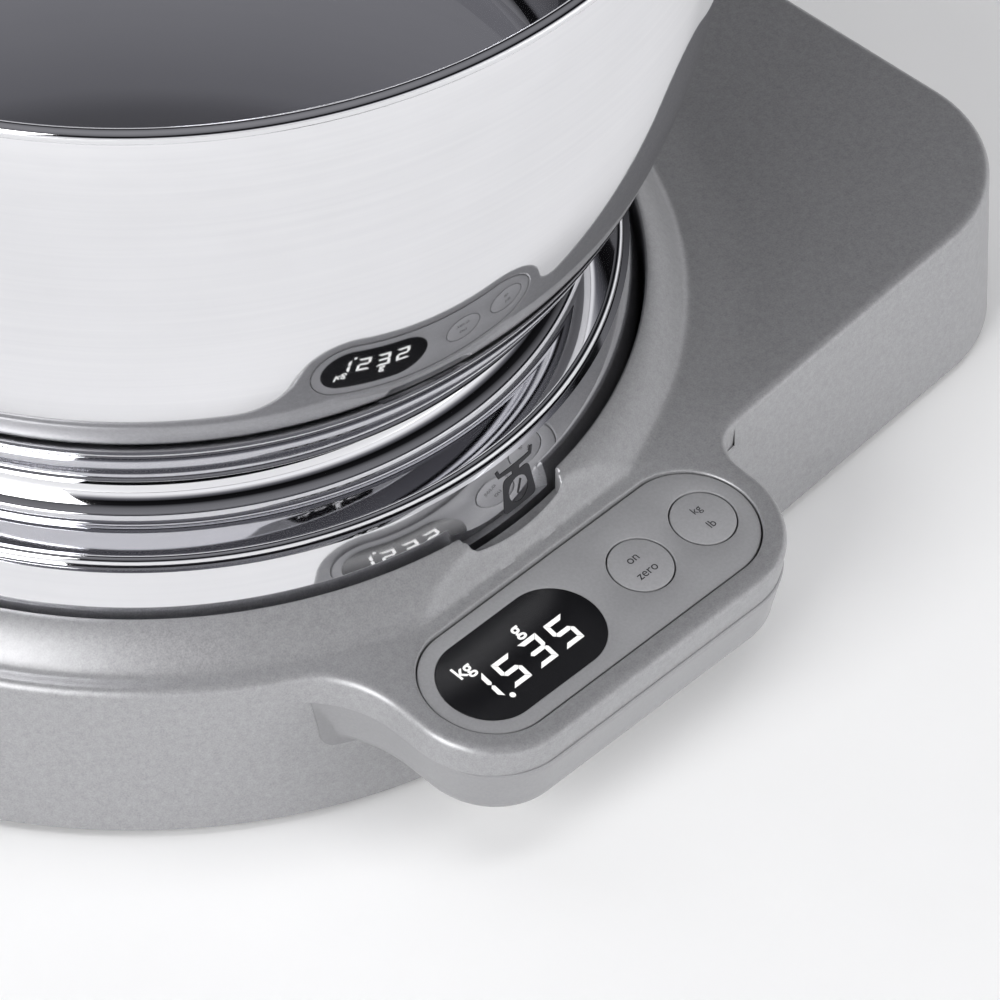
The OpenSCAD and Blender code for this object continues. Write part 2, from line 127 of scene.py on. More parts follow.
world = bpy.data.worlds.new("studio")
world.use_nodes = True
sky = world.node_tree
room = add(sky, "ShaderNodeTexCoord").outputs["Generated"]
way_up = add(sky, "ShaderNodeSeparateXYZ", links={"Vector": room})
walls = add(sky, "ShaderNodeValToRGB", links={"Fac": way_up.outputs["Z"]})
walls.color_ramp.elements[0].position = 0.12
walls.color_ramp.elements[0].color = linear("#fbfbfd")
walls.color_ramp.elements[1].position = 1.0
walls.color_ramp.elements[1].color = linear("#8a8a8e")
for height, grey in ((0.3, "#6a6a70"), (0.42, "#0c0c0d"), (0.6, "#161618"), (0.73, "#6e6e72")):
    walls.color_ramp.elements.new(height).color = linear(grey)
sky.links.new(walls.outputs["Color"], sky.nodes["Background"].inputs["Color"])
sky.nodes["Background"].inputs["Strength"].default_value = 1.05
bpy.context.scene.world = world
bpy.context.scene.view_settings.view_transform = "Standard"


def soft_box(name, place, aim_at, size, power, seen_in_steel=True):
    """A rectangular soft light that looks at one point, with or without an image in the mirrors."""
    data = bpy.data.lights.new(name, "AREA")
    data.shape = "RECTANGLE"
    data.size, data.size_y = size
    data.energy = power
    lamp = bpy.data.objects.new(name, data)
    lamp.location = place
    lamp.rotation_euler = (Vector(aim_at) - Vector(place)).to_track_quat("-Z", "Y").to_euler()
    lamp.visible_glossy = seen_in_steel
    bpy.context.scene.collection.objects.link(lamp)


soft_box("box_left", (-2.2, -0.4, 0.9), (0, 0, 0.03), (1.4, 1.6), 54)
soft_box("strip_overhead", (-0.15, -0.35, 2.0), (0, -0.05, 0.05), (1.6, 0.35), 6, False)
soft_box("box_right", (1.2, -2.0, 0.8), (0, -0.05, 0.03), (1.2, 1.4), 52, False)


# ---- upper casing ----------------------------------------------------------
# One moulded ABS cover, sprayed with silver metallic paint: the round collar
# of the bowl well, the deck, the long side walls and the rim of the control
# pod. It is held down by seven screws from below.
MM = 0.001
shell_low, shell_high = (np.array(c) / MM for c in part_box("top_shell"))
base_r = -shell_low[0]
rear_reach = shell_high[0]
collar_r = 107.0
collar_top = shell_high[2]
collar_foot_r = 115.6
deck_z = 40.5
deck_rise = 2.0
case_bottom = shell_low[2]
wall = 2.5
taper = math.radians(3.4)
rear_corner_r = 34.0
panel_reach = 129.7
panel_z = 37.3
panel_tilt = math.radians(8.7)
panel_half = 31.25
panel_r = 14.8
pod_corner_r = 20.2
pod_half = panel_half + pod_corner_r
front_fillet = 25.0
rear_fillet = 8.0
seam_drop = 7.0
opening_r = panel_r + 0.25
edge_r = 1.7
lip_r = 0.9
notch_half = math.radians(7.7)
notch_deep = 3.0
ledge_z = 17.0
ledge_top = 19.0
ledge_r = 72.0


def new_piece(name, points, faces, material, sharp=35.0):
    """A smooth-shaded mesh object from points in millimetres, split at sharp edges."""
    mesh = bpy.data.meshes.new(name)
    mesh.from_pydata([tuple(p) for p in np.asarray(points, float) * MM], [],
                     [tuple(int(i) for i in f) for f in faces])
    bm = bmesh.new()
    bm.from_mesh(mesh)
    bmesh.ops.remove_doubles(bm, verts=bm.verts, dist=1e-6)
    bmesh.ops.dissolve_degenerate(bm, edges=bm.edges, dist=1e-6)
    bmesh.ops.recalc_face_normals(bm, faces=bm.faces)
    bm.to_mesh(mesh)
    bm.free()
    mesh.polygons.foreach_set("use_smooth", [True] * len(mesh.polygons))
    mesh.set_sharp_from_angle(angle=math.radians(sharp))
    mesh.materials.append(material)
    piece = bpy.data.objects.new(name, mesh)
    bpy.context.scene.collection.objects.link(piece)
    return piece


def arc(cx, cy, r, a0, a1, step):
    """Points of an arc in degrees, without its last one, and their outward normals."""
    count = max(2, int(abs(math.radians(a1 - a0)) * r / step))
    angles = np.radians(np.linspace(a0, a1, count, endpoint=False))
    spokes = np.stack([np.cos(angles), np.sin(angles)], 1)
    return np.array([cx, cy]) + r * spokes, spokes * (1 if a1 > a0 else -1)


def straight(p, q, step):
    """Points of a line without its last one, and their outward normals."""
    p, q = np.array(p, float), np.array(q, float)
    length = np.linalg.norm(q - p)
    count = max(1, int(length / step))
    way = (q - p) / length
    normal = np.tile([way[1], -way[0]], (count, 1))
    return p + np.outer(np.linspace(0, 1, count, endpoint=False), q - p), normal


side_n = np.array([math.sin(taper), -math.cos(taper)])
side_start = base_r * side_n
corner_x = rear_reach - rear_corner_r
corner_y = (base_r - rear_corner_r - corner_x * math.sin(taper)) / math.cos(taper)
rear_cx = pod_half + rear_fillet
rear_cy = side_start[1] - (rear_fillet - (rear_cx - side_start[0]) * side_n[0]) / -side_n[1]
front_cx = -(pod_half + front_fillet)
front_cy = -math.sqrt((base_r + front_fillet) ** 2 - front_cx ** 2)
front_turn = math.degrees(math.atan2(-front_cy, -front_cx))
taper_deg = math.degrees(taper)
rear_end = np.array([rear_cx, rear_cy]) - rear_fillet * side_n
fine = 1.1
pod_front_y = shell_low[1]
pod_centre_y = pod_front_y + pod_corner_r
outline_parts = [
    (True, straight((-panel_half, pod_front_y), (panel_half, pod_front_y), fine)),
    (True, arc(panel_half, pod_centre_y, pod_corner_r, -90, 0, fine)),
    (True, straight((pod_half, pod_centre_y), (pod_half, rear_cy), fine)),
    (True, arc(rear_cx, rear_cy, rear_fillet, 180, 90 + taper_deg, 0.8)),
    (False, straight(rear_end, (corner_x + rear_corner_r * side_n[0], -corner_y + rear_corner_r * side_n[1]),
                     1.6)),
    (False, arc(corner_x, -corner_y, rear_corner_r, -90 + taper_deg, 0, 1.6)),
    (False, straight((rear_reach, -corner_y), (rear_reach, corner_y), 1.6)),
    (False, arc(corner_x, corner_y, rear_corner_r, 0, 90 - taper_deg, 1.6)),
    (False, straight((corner_x + rear_corner_r * side_n[0], corner_y - rear_corner_r * side_n[1]),
                     (side_start[0], -side_start[1]), 1.6)),
    (False, arc(0, 0, base_r, 90 - taper_deg, 180 + front_turn, 1.4)),
    (True, arc(front_cx, front_cy, front_fillet, front_turn, 0, fine)),
    (True, straight((-pod_half, front_cy), (-pod_half, pod_centre_y), fine)),
    (True, arc(-panel_half, pod_centre_y, pod_corner_r, 180, 270, fine)),
]
outline = np.concatenate([p[0] for _, p in outline_parts])
outward = np.concatenate([p[1] for _, p in outline_parts])
over_pod = np.concatenate([[pod] * len(p[0]) for pod, p in outline_parts])


def ease(x, low, high):
    """Smooth step from 0 at low to 1 at high."""
    t = np.clip((x - low) / (high - low), 0, 1)
    return t * t * (3 - 2 * t)


def soft_min(a, b, k):
    """The lower of two heights, blended over k millimetres."""
    h = np.clip(0.5 + 0.5 * (b - a) / k, 0, 1)
    return b + (a - b) * h - k * h * (1 - h)


def panel_gap(x, y):
    """Distance in plan from the round-ended opening of the panel."""
    along = np.clip(x, -panel_half, panel_half)
    return np.hypot(x - along, (y + panel_reach)) - opening_r


def panel_height(y):
    return panel_z + (y + panel_reach) * math.tan(panel_tilt)


def well_edge(angle):
    """Radius of the well's mouth, which steps outwards at the notch over the bowl's mark."""
    off = np.abs((angle + math.pi / 2 + math.pi) % (2 * math.pi) - math.pi)
    return collar_r + notch_deep * (1 - ease(off, notch_half - 0.017, notch_half + 0.008))


def casing_height(x, y):
    """Top of the casing: the collar's flank, the deck and the tilted pod in one skin."""
    r = np.hypot(x, y)
    t = np.clip((r - collar_r) / (collar_foot_r - collar_r), 0, 2)
    flank = collar_top - (collar_top - deck_z - deck_rise) * t ** 1.45
    cone = deck_z + deck_rise * (1 - ease(r, collar_foot_r - 4, collar_foot_r + 14))
    pod = ease(-y, 103, 122) * (1 - ease(np.abs(x), 52, 84))
    deck = cone * (1 - pod) + (panel_height(y) + 0.55) * pod
    top = -soft_min(-flank, -deck, 1.3)
    gap = panel_gap(x, y)
    ramp = 2.5 * (np.maximum(gap - 2.2, 0) ** 2 / (np.maximum(gap - 2.2, 0) + 0.8))
    return soft_min(top, panel_height(y) + 0.95 + 0.12 * gap + ramp, 1.0)


plan = []
drop = []
ring_at = {}


def ring(name, points, drops):
    ring_at[name] = np.arange(len(points)) + sum(len(p) for p in plan)
    plan.append(points)
    drop.append(np.broadcast_to(drops, len(points)).astype(float))


def round_over(radius, inset):
    """How far a rounded edge lies below its flat, at a distance from the wall."""
    return radius - math.sqrt(max(radius ** 2 - max(radius - inset, 0) ** 2, 0))


for k, inset in enumerate((0, 0.06, 0.28, 0.7, 1.2, 1.75)):
    ring(f"edge{k}", outline - inset * outward, round_over(edge_r, inset))
ring("edge_in", outline - wall * outward, 0)
turns = np.radians(np.arange(0, 360, 0.5))
spokes = np.stack([np.cos(turns), np.sin(turns)], 1)
mouth = well_edge(turns)
for k, inset in enumerate((0, 0.05, 0.22, 0.5, 0.9)):
    ring(f"mouth{k}", spokes * (mouth + inset)[:, None], round_over(lip_r, inset))
well_skin_r = 111.3
ring("well_skin", spokes * well_skin_r, 0)
hole_parts = [straight((-panel_half, -panel_reach - opening_r), (panel_half, -panel_reach - opening_r), 1.0),
              arc(panel_half, -panel_reach, opening_r, -90, 90, 0.7),
              straight((panel_half, -panel_reach + opening_r), (-panel_half, -panel_reach + opening_r), 1.0),
              arc(-panel_half, -panel_reach, opening_r, 90, 270, 0.7)]
hole = np.concatenate([p for p, _ in hole_parts])
hole_out = np.concatenate([n for _, n in hole_parts])
for k, inset in enumerate((0, 0.05, 0.2, 0.45)):
    ring(f"hole{k}", hole + inset * hole_out, round_over(0.45, inset))
ring("hole_wide", hole + 1.1 * hole_out, 0)


def clearance(points):
    """Distance from each point to the nearest point of the outline."""
    apart = points[:, None] - outline[None]
    return np.min(np.hypot(apart[..., 0], apart[..., 1]), 1)


filling = []
for r in np.arange(108.4, 119.6, 0.7):
    if abs(r - well_skin_r) < 0.3:
        continue
    loop = spokes * r
    keep = (r > mouth + 1.2) & (panel_gap(loop[:, 0], loop[:, 1]) > 1.7)
    filling.append(loop[keep])
grid_x, grid_y = np.meshgrid(np.arange(-90, rear_reach, 1.9), np.arange(-152, 122, 1.9))
grid = np.stack([grid_x.ravel(), grid_y.ravel()], 1)
keep = (np.hypot(grid[:, 0], grid[:, 1]) > 120.4) & (panel_gap(grid[:, 0], grid[:, 1]) > 1.9)
filling.append(grid[keep])
filling = np.concatenate(filling)


def inside(points, loop):
    """Which points lie inside a closed loop."""
    result = np.zeros(len(points), bool)
    for (x0, y0), (x1, y1) in zip(loop, np.roll(loop, -1, 0)):
        crosses = (y0 > points[:, 1]) != (y1 > points[:, 1])
        at = x0 + (points[:, 1] - y0) * (x1 - x0) / (y1 - y0 if y1 != y0 else 1e-12)
        result ^= crosses & (points[:, 0] < at)
    return result


filling = filling[inside(filling, outline)]
filling = filling[clearance(filling) > wall + 0.7]
ring("filling", filling, 0)
flat = np.concatenate(plan)
drops = np.concatenate(drop)
fences = []
for name in ("edge0", "edge_in", "mouth0", "well_skin", "hole0"):
    ids = ring_at[name]
    fences += list(zip(ids.tolist(), np.roll(ids, -1).tolist()))
cdt = delaunay_2d_cdt([Vector(p) for p in flat], fences, [], 0, 1e-5)
skin_xy = np.array([tuple(p) for p in cdt[0]])
new_id = np.full(len(flat), -1)
for i, sources in enumerate(cdt[3]):
    for s in sources:
        new_id[s] = i
skin_drop = np.zeros(len(skin_xy))
skin_drop[new_id] = drops
triangles = np.array(cdt[2])
middles = skin_xy[triangles].mean(1)
mouth_loop = flat[ring_at["mouth0"]]
keep = inside(middles, outline) & ~inside(middles, mouth_loop)
keep &= panel_gap(middles[:, 0], middles[:, 1]) > -0.02
triangles = triangles[keep]
middles = middles[keep]
skin = np.column_stack([skin_xy, casing_height(skin_xy[:, 0], skin_xy[:, 1]) - skin_drop])

# The lower side of the skin, between the inner face of the walls and the well.
under = np.array(skin)
under[:, 2] = casing_height(skin_xy[:, 0], skin_xy[:, 1]) - wall
inner_wall = flat[ring_at["edge_in"]]
lower = inside(middles, inner_wall) & ~inside(middles, flat[ring_at["well_skin"]])
shell_points = [skin, under]
shell_faces = [list(t) for t in triangles] + [[t[0] + len(skin), t[2] + len(skin), t[1] + len(skin)]
                                              for t in triangles[lower]]
count = 2 * len(skin)


def put(points):
    """Adds points to the casing and returns their numbers."""
    global count
    shell_points.append(np.asarray(points, float))
    count += len(points)
    return np.arange(count - len(points), count)


def band(a, b, which=None):
    """Closes two rings of equal length with four-sided faces."""
    for i in range(len(a)):
        j = (i + 1) % len(a)
        if which is None or which[i]:
            shell_faces.append([a[i], a[j], b[j], b[i]])


edge_top = new_id[ring_at["edge0"]]
edge_under = new_id[ring_at["edge_in"]] + len(skin)
lean = ease(-outline[:, 1], 106, 128)[:, None]
seam_z = panel_height(outline[:, 1]) - seam_drop / math.cos(panel_tilt)
seam_out = np.column_stack([outline + lean * [0, seam_drop * math.sin(panel_tilt)], seam_z])
seam_in = np.column_stack([outline - wall * outward + lean * [0, seam_drop * math.sin(panel_tilt)], seam_z])
floor_z = np.full(len(outline), case_bottom)
foot_out = np.column_stack([outline, floor_z])
foot_in = np.column_stack([outline - wall * outward, floor_z])
pod_edge = over_pod
seam_a, seam_b = put(seam_out), put(seam_in)
foot_a, foot_b = put(foot_out), put(foot_in)
for a, b, which in ((edge_top, seam_a, pod_edge), (seam_a, seam_b, pod_edge), (seam_b, edge_under, pod_edge),
                    (edge_top, foot_a, ~pod_edge), (foot_a, foot_b, ~pod_edge), (foot_b, edge_under, ~pod_edge)):
    band(a, b, which)
for i in np.nonzero(pod_edge != np.roll(pod_edge, 1))[0]:
    shell_faces.append([foot_a[i], seam_a[i], seam_b[i], foot_b[i]])

# The hole for the control insert.
hole_top = new_id[ring_at["hole0"]]
band(hole_top, hole_top + len(skin))

# The well: its wall, the pocket under the notch, and the ledge round the platform.
pocket_z = 44.5
columns = [np.column_stack([spokes * mouth[:, None], np.full(len(turns), pocket_z)]),
           np.column_stack([spokes * collar_r, np.full(len(turns), pocket_z)]),
           np.column_stack([spokes * collar_r, np.full(len(turns), ledge_top)]),
           np.column_stack([spokes * ledge_r, np.full(len(turns), ledge_top)]),
           np.column_stack([spokes * ledge_r, np.full(len(turns), ledge_z)]),
           np.column_stack([spokes * well_skin_r, np.full(len(turns), ledge_z)])]
previous = new_id[ring_at["mouth0"]]
for column in columns:
    current = put(column)
    band(previous, current)
    previous = current
band(previous, new_id[ring_at["well_skin"]] + len(skin))

# The round wall of the base where it passes behind the pod.
behind_a = np.concatenate([arc(0, 0, base_r, 180 + front_turn, 360 - 90 + taper_deg, 1.4)[0],
                           straight(side_start, rear_end, 1.4)[0], [rear_end]])
behind_n = np.concatenate([arc(0, 0, base_r, 180 + front_turn, 360 - 90 + taper_deg, 1.4)[1],
                           straight(side_start, rear_end, 1.4)[1], [side_n]])
behind_top = panel_height(behind_a[:, 1]) - seam_drop + 1.0
inner = behind_a - wall * behind_n
rails = [put(np.column_stack([behind_a, np.full(len(behind_a), case_bottom)])),
         put(np.column_stack([behind_a, behind_top])),
         put(np.column_stack([inner, behind_top])),
         put(np.column_stack([inner, np.full(len(inner), case_bottom)]))]
for a, b in zip(rails, rails[1:] + rails[:1]):
    for i in range(len(a) - 1):
        shell_faces.append([a[i], a[i + 1], b[i + 1], b[i]])
for end in (0, -1):
    shell_faces.append([r[end] for r in rails])


# Silver metallic paint: aluminium flake in a satin lacquer. The flake is finer
# than 0.05 mm; it is drawn about 0.35 mm wide so that it shows as a grain.
def flake(tree):
    place = add(tree, "ShaderNodeTexCoord").outputs["Object"]
    grain = add(tree, "ShaderNodeTexNoise", inputs={"Scale": 2600.0, "Detail": 2.0, "Roughness": 0.7},
                links={"Vector": place})
    cloud = add(tree, "ShaderNodeTexNoise", inputs={"Scale": 700.0, "Detail": 1.0}, links={"Vector": place})
    both = add(tree, "ShaderNodeMath", {"operation": "MULTIPLY_ADD"}, {1: 0.35},
               {0: cloud.outputs["Fac"], 2: grain.outputs["Fac"]})
    tone = add(tree, "ShaderNodeValToRGB", links={"Fac": both.outputs["Value"]})
    tone.color_ramp.elements[0].position = 0.35
    tone.color_ramp.elements[0].color = linear("#8f8f91")
    tone.color_ramp.elements[1].position = 1.0
    tone.color_ramp.elements[1].color = linear("#aeaeb0")
    gloss = add(tree, "ShaderNodeMapRange", inputs={"From Min": 0.3, "From Max": 0.7, "To Min": 0.36, "To Max": 0.5},
                links={"Value": grain.outputs["Fac"]})
    peel = add(tree, "ShaderNodeBump", inputs={"Strength": 0.12, "Distance": 0.00004},
               links={"Height": grain.outputs["Fac"]})
    return {"Base Color": tone.outputs["Color"], "Roughness": gloss.outputs["Result"],
            "Normal": peel.outputs["Normal"]}


silver_paint = finish_of("silver_metallic_paint", flake, Metallic=0.55)
casing = new_piece("upper_casing", np.concatenate(shell_points), shell_faces, silver_paint)

# The opening for the battery door, milled through the rear wall.
door_room = 0.3
door_box = [np.array(c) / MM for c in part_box("battery_door")]
(_, cut_y0, cut_z0), (_, cut_y1, cut_z1) = door_box[0] - door_room, door_box[1] + door_room
cut_depth = 5.0
corners = [(x, y, z) for x in (rear_reach - cut_depth, rear_reach + cut_depth)
           for y in (cut_y0, cut_y1) for z in (cut_z0, cut_z1)]
sides = [(0, 1, 3, 2), (4, 6, 7, 5), (0, 4, 5, 1), (2, 3, 7, 6), (0, 2, 6, 4), (1, 5, 7, 3)]
cutter = new_piece("door_cut", corners, sides, silver_paint)
milling = casing.modifiers.new("door_opening", "BOOLEAN")
milling.object = cutter
milling.operation = "DIFFERENCE"
milling.solver = "EXACT"
bpy.context.view_layer.update()
opened = bpy.data.meshes.new_from_object(casing.evaluated_get(bpy.context.evaluated_depsgraph_get()))
casing.modifiers.remove(milling)
casing.data = opened
bpy.data.objects.remove(cutter)
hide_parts("top_shell")
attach(casing, "base")


# ---- pod housing -----------------------------------------------------------
# The lower half of the pod, a smooth grey ABS tray that narrows downwards. Two
# screws from inside the base hold it, and a fine seam parts it from the cover.
housing_deep = 14.0
housing_seam = 0.55
housing_round = 4.5


def on_panel(points):
    """Points given in the panel's own tilted frame, in the object's frame."""
    x, y, z = np.asarray(points, float).T
    return np.column_stack([x, -panel_reach + y * math.cos(panel_tilt) - z * math.sin(panel_tilt),
                            panel_z + y * math.sin(panel_tilt) + z * math.cos(panel_tilt)])


def base_line(x):
    """The base's wall behind the pod, just outside it."""
    out = base_r + 0.2
    side = -(out * math.cos(taper) - (x - out * math.sin(taper)) * math.tan(taper))
    return np.where(x < out * math.sin(taper), -np.sqrt(np.maximum(out ** 2 - x ** 2, 0)), side)


neck_end = math.radians(54)
tray_line = np.concatenate([outline_parts[k][1][0] for k in (10, 11, 12, 0, 1, 2)])
tray_out = np.concatenate([outline_parts[k][1][1] for k in (10, 11, 12, 0, 1, 2)])
on_neck = np.arctan2(tray_line[:, 1] - front_cy, tray_line[:, 0] - front_cx) > neck_end
on_neck &= tray_line[:, 0] < -pod_half
behind = tray_line[:, 1] > base_line(tray_line[:, 0]) - 0.4
tray_line, tray_out = tray_line[~(on_neck | behind)], tray_out[~(on_neck | behind)]


def housing_loop(inset, height):
    """One level of the tray: the cover's own outline moved inwards, closed along the base's wall."""
    front = tray_line - inset * tray_out
    front[:, 1] = np.minimum(front[:, 1], base_line(front[:, 0]))
    back_x = np.linspace(pod_half - inset, front[0][0], 40)
    loop = np.concatenate([front, np.column_stack([back_x, base_line(back_x)])])
    return np.column_stack([loop, panel_height(loop[:, 1]) + height])


tray_top = -seam_drop - housing_seam
levels = [(2.2, -seam_drop + 1.2), (2.2, tray_top + 0.25), (0.85, tray_top + 0.2), (0.6, tray_top - 0.1),
          (0.7, tray_top - 0.6)]
for k in range(9):
    t = k / 8
    levels.append((0.7 + 2.0 * t, -seam_drop - 1.2 - (housing_deep - 5.6) * t))
for k in range(1, 9):
    a = math.radians(k * 90 / 8)
    levels.append((2.7 + housing_round * (1 - math.cos(a)),
                   -seam_drop - housing_deep + 4.4 * (1 - math.sin(a))))
tray_points = [housing_loop(*level) for level in levels]
per = len(tray_points[0])
tray_faces = []
for k in range(len(levels) - 1):
    for i in range(per):
        j = (i + 1) % per
        tray_faces.append([k * per + i, k * per + j, (k + 1) * per + j, (k + 1) * per + i])
tray_faces.append(list(range(per)))
tray_faces.append([(len(levels) - 1) * per + i for i in range(per)][::-1])


# Moulded grey ABS with a spark-eroded satin skin: grain about 0.15 mm.
def satin(light, dark, scale=1500.0):
    def build(tree):
        place = add(tree, "ShaderNodeTexCoord").outputs["Object"]
        grain = add(tree, "ShaderNodeTexNoise", inputs={"Scale": scale, "Detail": 2.0}, links={"Vector": place})
        tone = add(tree, "ShaderNodeValToRGB", links={"Fac": grain.outputs["Fac"]})
        tone.color_ramp.elements[0].position = 0.3
        tone.color_ramp.elements[0].color = linear(dark)
        tone.color_ramp.elements[1].position = 0.7
        tone.color_ramp.elements[1].color = linear(light)
        skin_bump = add(tree, "ShaderNodeBump", inputs={"Strength": 0.08, "Distance": 0.00003},
                        links={"Height": grain.outputs["Fac"]})
        return {"Base Color": tone.outputs["Color"], "Normal": skin_bump.outputs["Normal"]}
    return build


grey_abs = finish_of("moulded_grey_abs", satin("#8b8b8d", "#868688"), Roughness=0.36, IOR=1.5)
housing = new_piece("pod_tray", np.concatenate(tray_points), tray_faces, grey_abs, 40)
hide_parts("pod_housing")
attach(housing, "base")


# ---- control insert --------------------------------------------------------
# A flat moulded ABS plate with round ends that snaps into the pod. It carries
# the window and two round openings for the keys.
insert_thick = 2.0
lens_r = 11.1
lens_x0 = -panel_half
lens_x1 = -10.76
key_r = 7.1
key_hole_r = 7.42
key_places = (15.7, 35.0)


def stadium(x0, x1, r, away=1, step=0.5):
    """A round-ended outline with its normals; away is -1 for a hole."""
    parts = [straight((x0, -r), (x1, -r), 2.0), arc(x1, 0, r, -90, 90, step),
             straight((x1, r), (x0, r), 2.0), arc(x0, 0, r, 90, 270, step)]
    return np.concatenate([p for p, _ in parts]), away * np.concatenate([n for _, n in parts])


def disc(x, r, away=1, step=0.4):
    points, normals = arc(x, 0, r, 0, 360, step)
    return points, away * normals


def plate_mesh(loops, top, bottom, rounding):
    """A flat plate in the panel's frame; every loop gets a rounded upper edge."""
    rings, heights, starts, total = [], [], [], 0
    for points, normals in loops:
        starts.append(total)
        for inset in (0, 0.1, 0.4, 1.0):
            rings.append(points - inset * rounding * normals)
            heights.append(np.full(len(points), top - round_over(rounding, inset * rounding)))
            total += len(points)
    xy, z = np.concatenate(rings), np.concatenate(heights)
    limits = []
    for start, (points, _) in zip(starts, loops):
        ids = np.arange(start, start + len(points))
        limits += list(zip(ids.tolist(), np.roll(ids, -1).tolist()))
    cut = delaunay_2d_cdt([Vector(p) for p in xy], limits, [], 0, 1e-5)
    spots = np.array([tuple(p) for p in cut[0]])
    number = np.zeros(len(xy), int)
    for i, sources in enumerate(cut[3]):
        for source in sources:
            number[source] = i
    level = np.zeros(len(spots))
    level[number] = z
    tris = np.array(cut[2])
    mid = spots[tris].mean(1)
    good = inside(mid, loops[0][0])
    for points, _ in loops[1:]:
        good &= ~inside(mid, points)
    tris = tris[good]
    points = np.concatenate([np.column_stack([spots, level]), np.column_stack([spots, np.full(len(spots), bottom)])])
    faces = [list(t) for t in tris] + [[t[0] + len(spots), t[2] + len(spots), t[1] + len(spots)] for t in tris]
    for start, (loop, _) in zip(starts, loops):
        ids = number[np.arange(start, start + len(loop))]
        for a, b in zip(ids, np.roll(ids, -1)):
            faces.append([a, b, b + len(spots), a + len(spots)])
    return on_panel(points), faces


insert_abs = finish_of("satin_grey_insert", satin("#8c8c8e", "#868688"), Roughness=0.33, IOR=1.5)
loops = [stadium(-panel_half, panel_half, panel_r), stadium(lens_x0, lens_x1, lens_r + 0.03, -1)]
loops += [disc(x, key_hole_r, -1) for x in key_places]
insert = new_piece("control_plate", *plate_mesh(loops, 0.0, -insert_thick, 0.32), insert_abs, 50)
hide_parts("control_insert")
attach(insert, "base")


# ---- display window --------------------------------------------------------
# A smoked acrylic window, flush with the plate and polished. The characters of
# the reversed display behind it read white on black.
def smoked(tree):
    place = add(tree, "ShaderNodeTexCoord").outputs["Object"]
    haze = add(tree, "ShaderNodeTexNoise", inputs={"Scale": 90.0, "Detail": 1.0}, links={"Vector": place})
    tone = add(tree, "ShaderNodeValToRGB", links={"Fac": haze.outputs["Fac"]})
    tone.color_ramp.elements[0].color = linear("#101012")
    tone.color_ramp.elements[1].color = linear("#151517")
    return {"Base Color": tone.outputs["Color"]}


smoked_acrylic = finish_of("smoked_acrylic", smoked, Roughness=0.2, IOR=1.49)
window = new_piece("display_window", *plate_mesh([stadium(lens_x0, lens_x1, lens_r)], -0.04, -insert_thick, 0.08),
                   smoked_acrylic, 50)
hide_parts("display_lens")
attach(window, "base")


def glow(tree):
    place = add(tree, "ShaderNodeTexCoord").outputs["Object"]
    uneven = add(tree, "ShaderNodeTexNoise", inputs={"Scale": 500.0}, links={"Vector": place})
    tone = add(tree, "ShaderNodeValToRGB", links={"Fac": uneven.outputs["Fac"]})
    tone.color_ramp.elements[0].color = linear("#dededc")
    tone.color_ramp.elements[1].color = linear("#e6e6e4")
    return {"Base Color": tone.outputs["Color"], "Emission Color": tone.outputs["Color"]}


lit_segment = finish_of("lit_display_segment", glow, Roughness=0.5, **{"Emission Strength": 0.32})
digit_w, digit_h, stroke, slant, pause = 5.45, 7.6, 1.15, 0.092, 0.05
digit_base = -5.5


def segment_shapes():
    """Six of a digit's seven strokes, all that 1, 3 and 5 need, with mitred ends, from its lower left corner."""
    w, h, s, g = digit_w, digit_h, stroke, pause
    m = h / 2
    return {
        "top": [(g, h), (w - g, h), (w - s - g, h - s), (s + g, h - s)],
        "bottom": [(g, 0), (s + g, s), (w - s - g, s), (w - g, 0)],
        "middle": [(0.5 * s, m), (s, m + s / 2), (w - s, m + s / 2), (w - 0.5 * s, m), (w - s, m - s / 2),
                   (s, m - s / 2)],
        "upper_left": [(0, h - g), (s, h - s - g), (s, m + s / 2 + g), (0.45 * s, m + g), (0, m + 0.45 * s)],
        "upper_right": [(w, h - g), (w, m + 0.45 * s), (w - 0.45 * s, m + g), (w - s, m + s / 2 + g),
                        (w - s, h - s - g)],
        "lower_right": [(w, g), (w - s, s + g), (w - s, m - s / 2 - g), (w - 0.45 * s, m - g), (w, m - 0.45 * s)],
    }


shapes = segment_shapes()
digit_strokes = {"1": ("upper_right", "lower_right"), "5": ("top", "upper_left", "middle", "lower_right", "bottom"),
                 "3": ("top", "upper_right", "middle", "lower_right", "bottom")}
mark_points, mark_faces = [], []
for figure, left in (("1", -37.2), ("5", -28.95), ("3", -20.85), ("5", -12.95)):
    for name in digit_strokes[figure]:
        start = len(mark_points)
        for x, y in shapes[name]:
            mark_points.append((left + x + slant * y, digit_base + y, -0.02))
        mark_faces.append(list(range(start, len(mark_points))))
start = len(mark_points)
for a in np.radians(np.arange(0, 360, 15)):
    mark_points.append((-30.5 + 0.7 * math.cos(a), -6.4 + 0.7 * math.sin(a), -0.02))
mark_faces.append(list(range(start, len(mark_points))))


def lettering(words, height, middle, weight):
    """Flat outlines of one word, sized by its height and centred on a point of the panel."""
    curve = bpy.data.curves.new(words, "FONT")
    curve.body = words
    curve.offset = weight
    curve.resolution_u = 6
    letters = bpy.data.objects.new(words, curve)
    bpy.context.scene.collection.objects.link(letters)
    bpy.context.view_layer.update()
    seen = letters.evaluated_get(bpy.context.evaluated_depsgraph_get())
    mesh = bpy.data.meshes.new_from_object(seen)
    points = np.array([tuple(v.co) for v in mesh.vertices])
    faces = [list(p.vertices) for p in mesh.polygons]
    bpy.data.objects.remove(letters)
    low, high = points.min(0), points.max(0)
    points = (points - (low + high) / 2) * height / (high[1] - low[1])
    return points[:, :2] + np.array(middle), faces


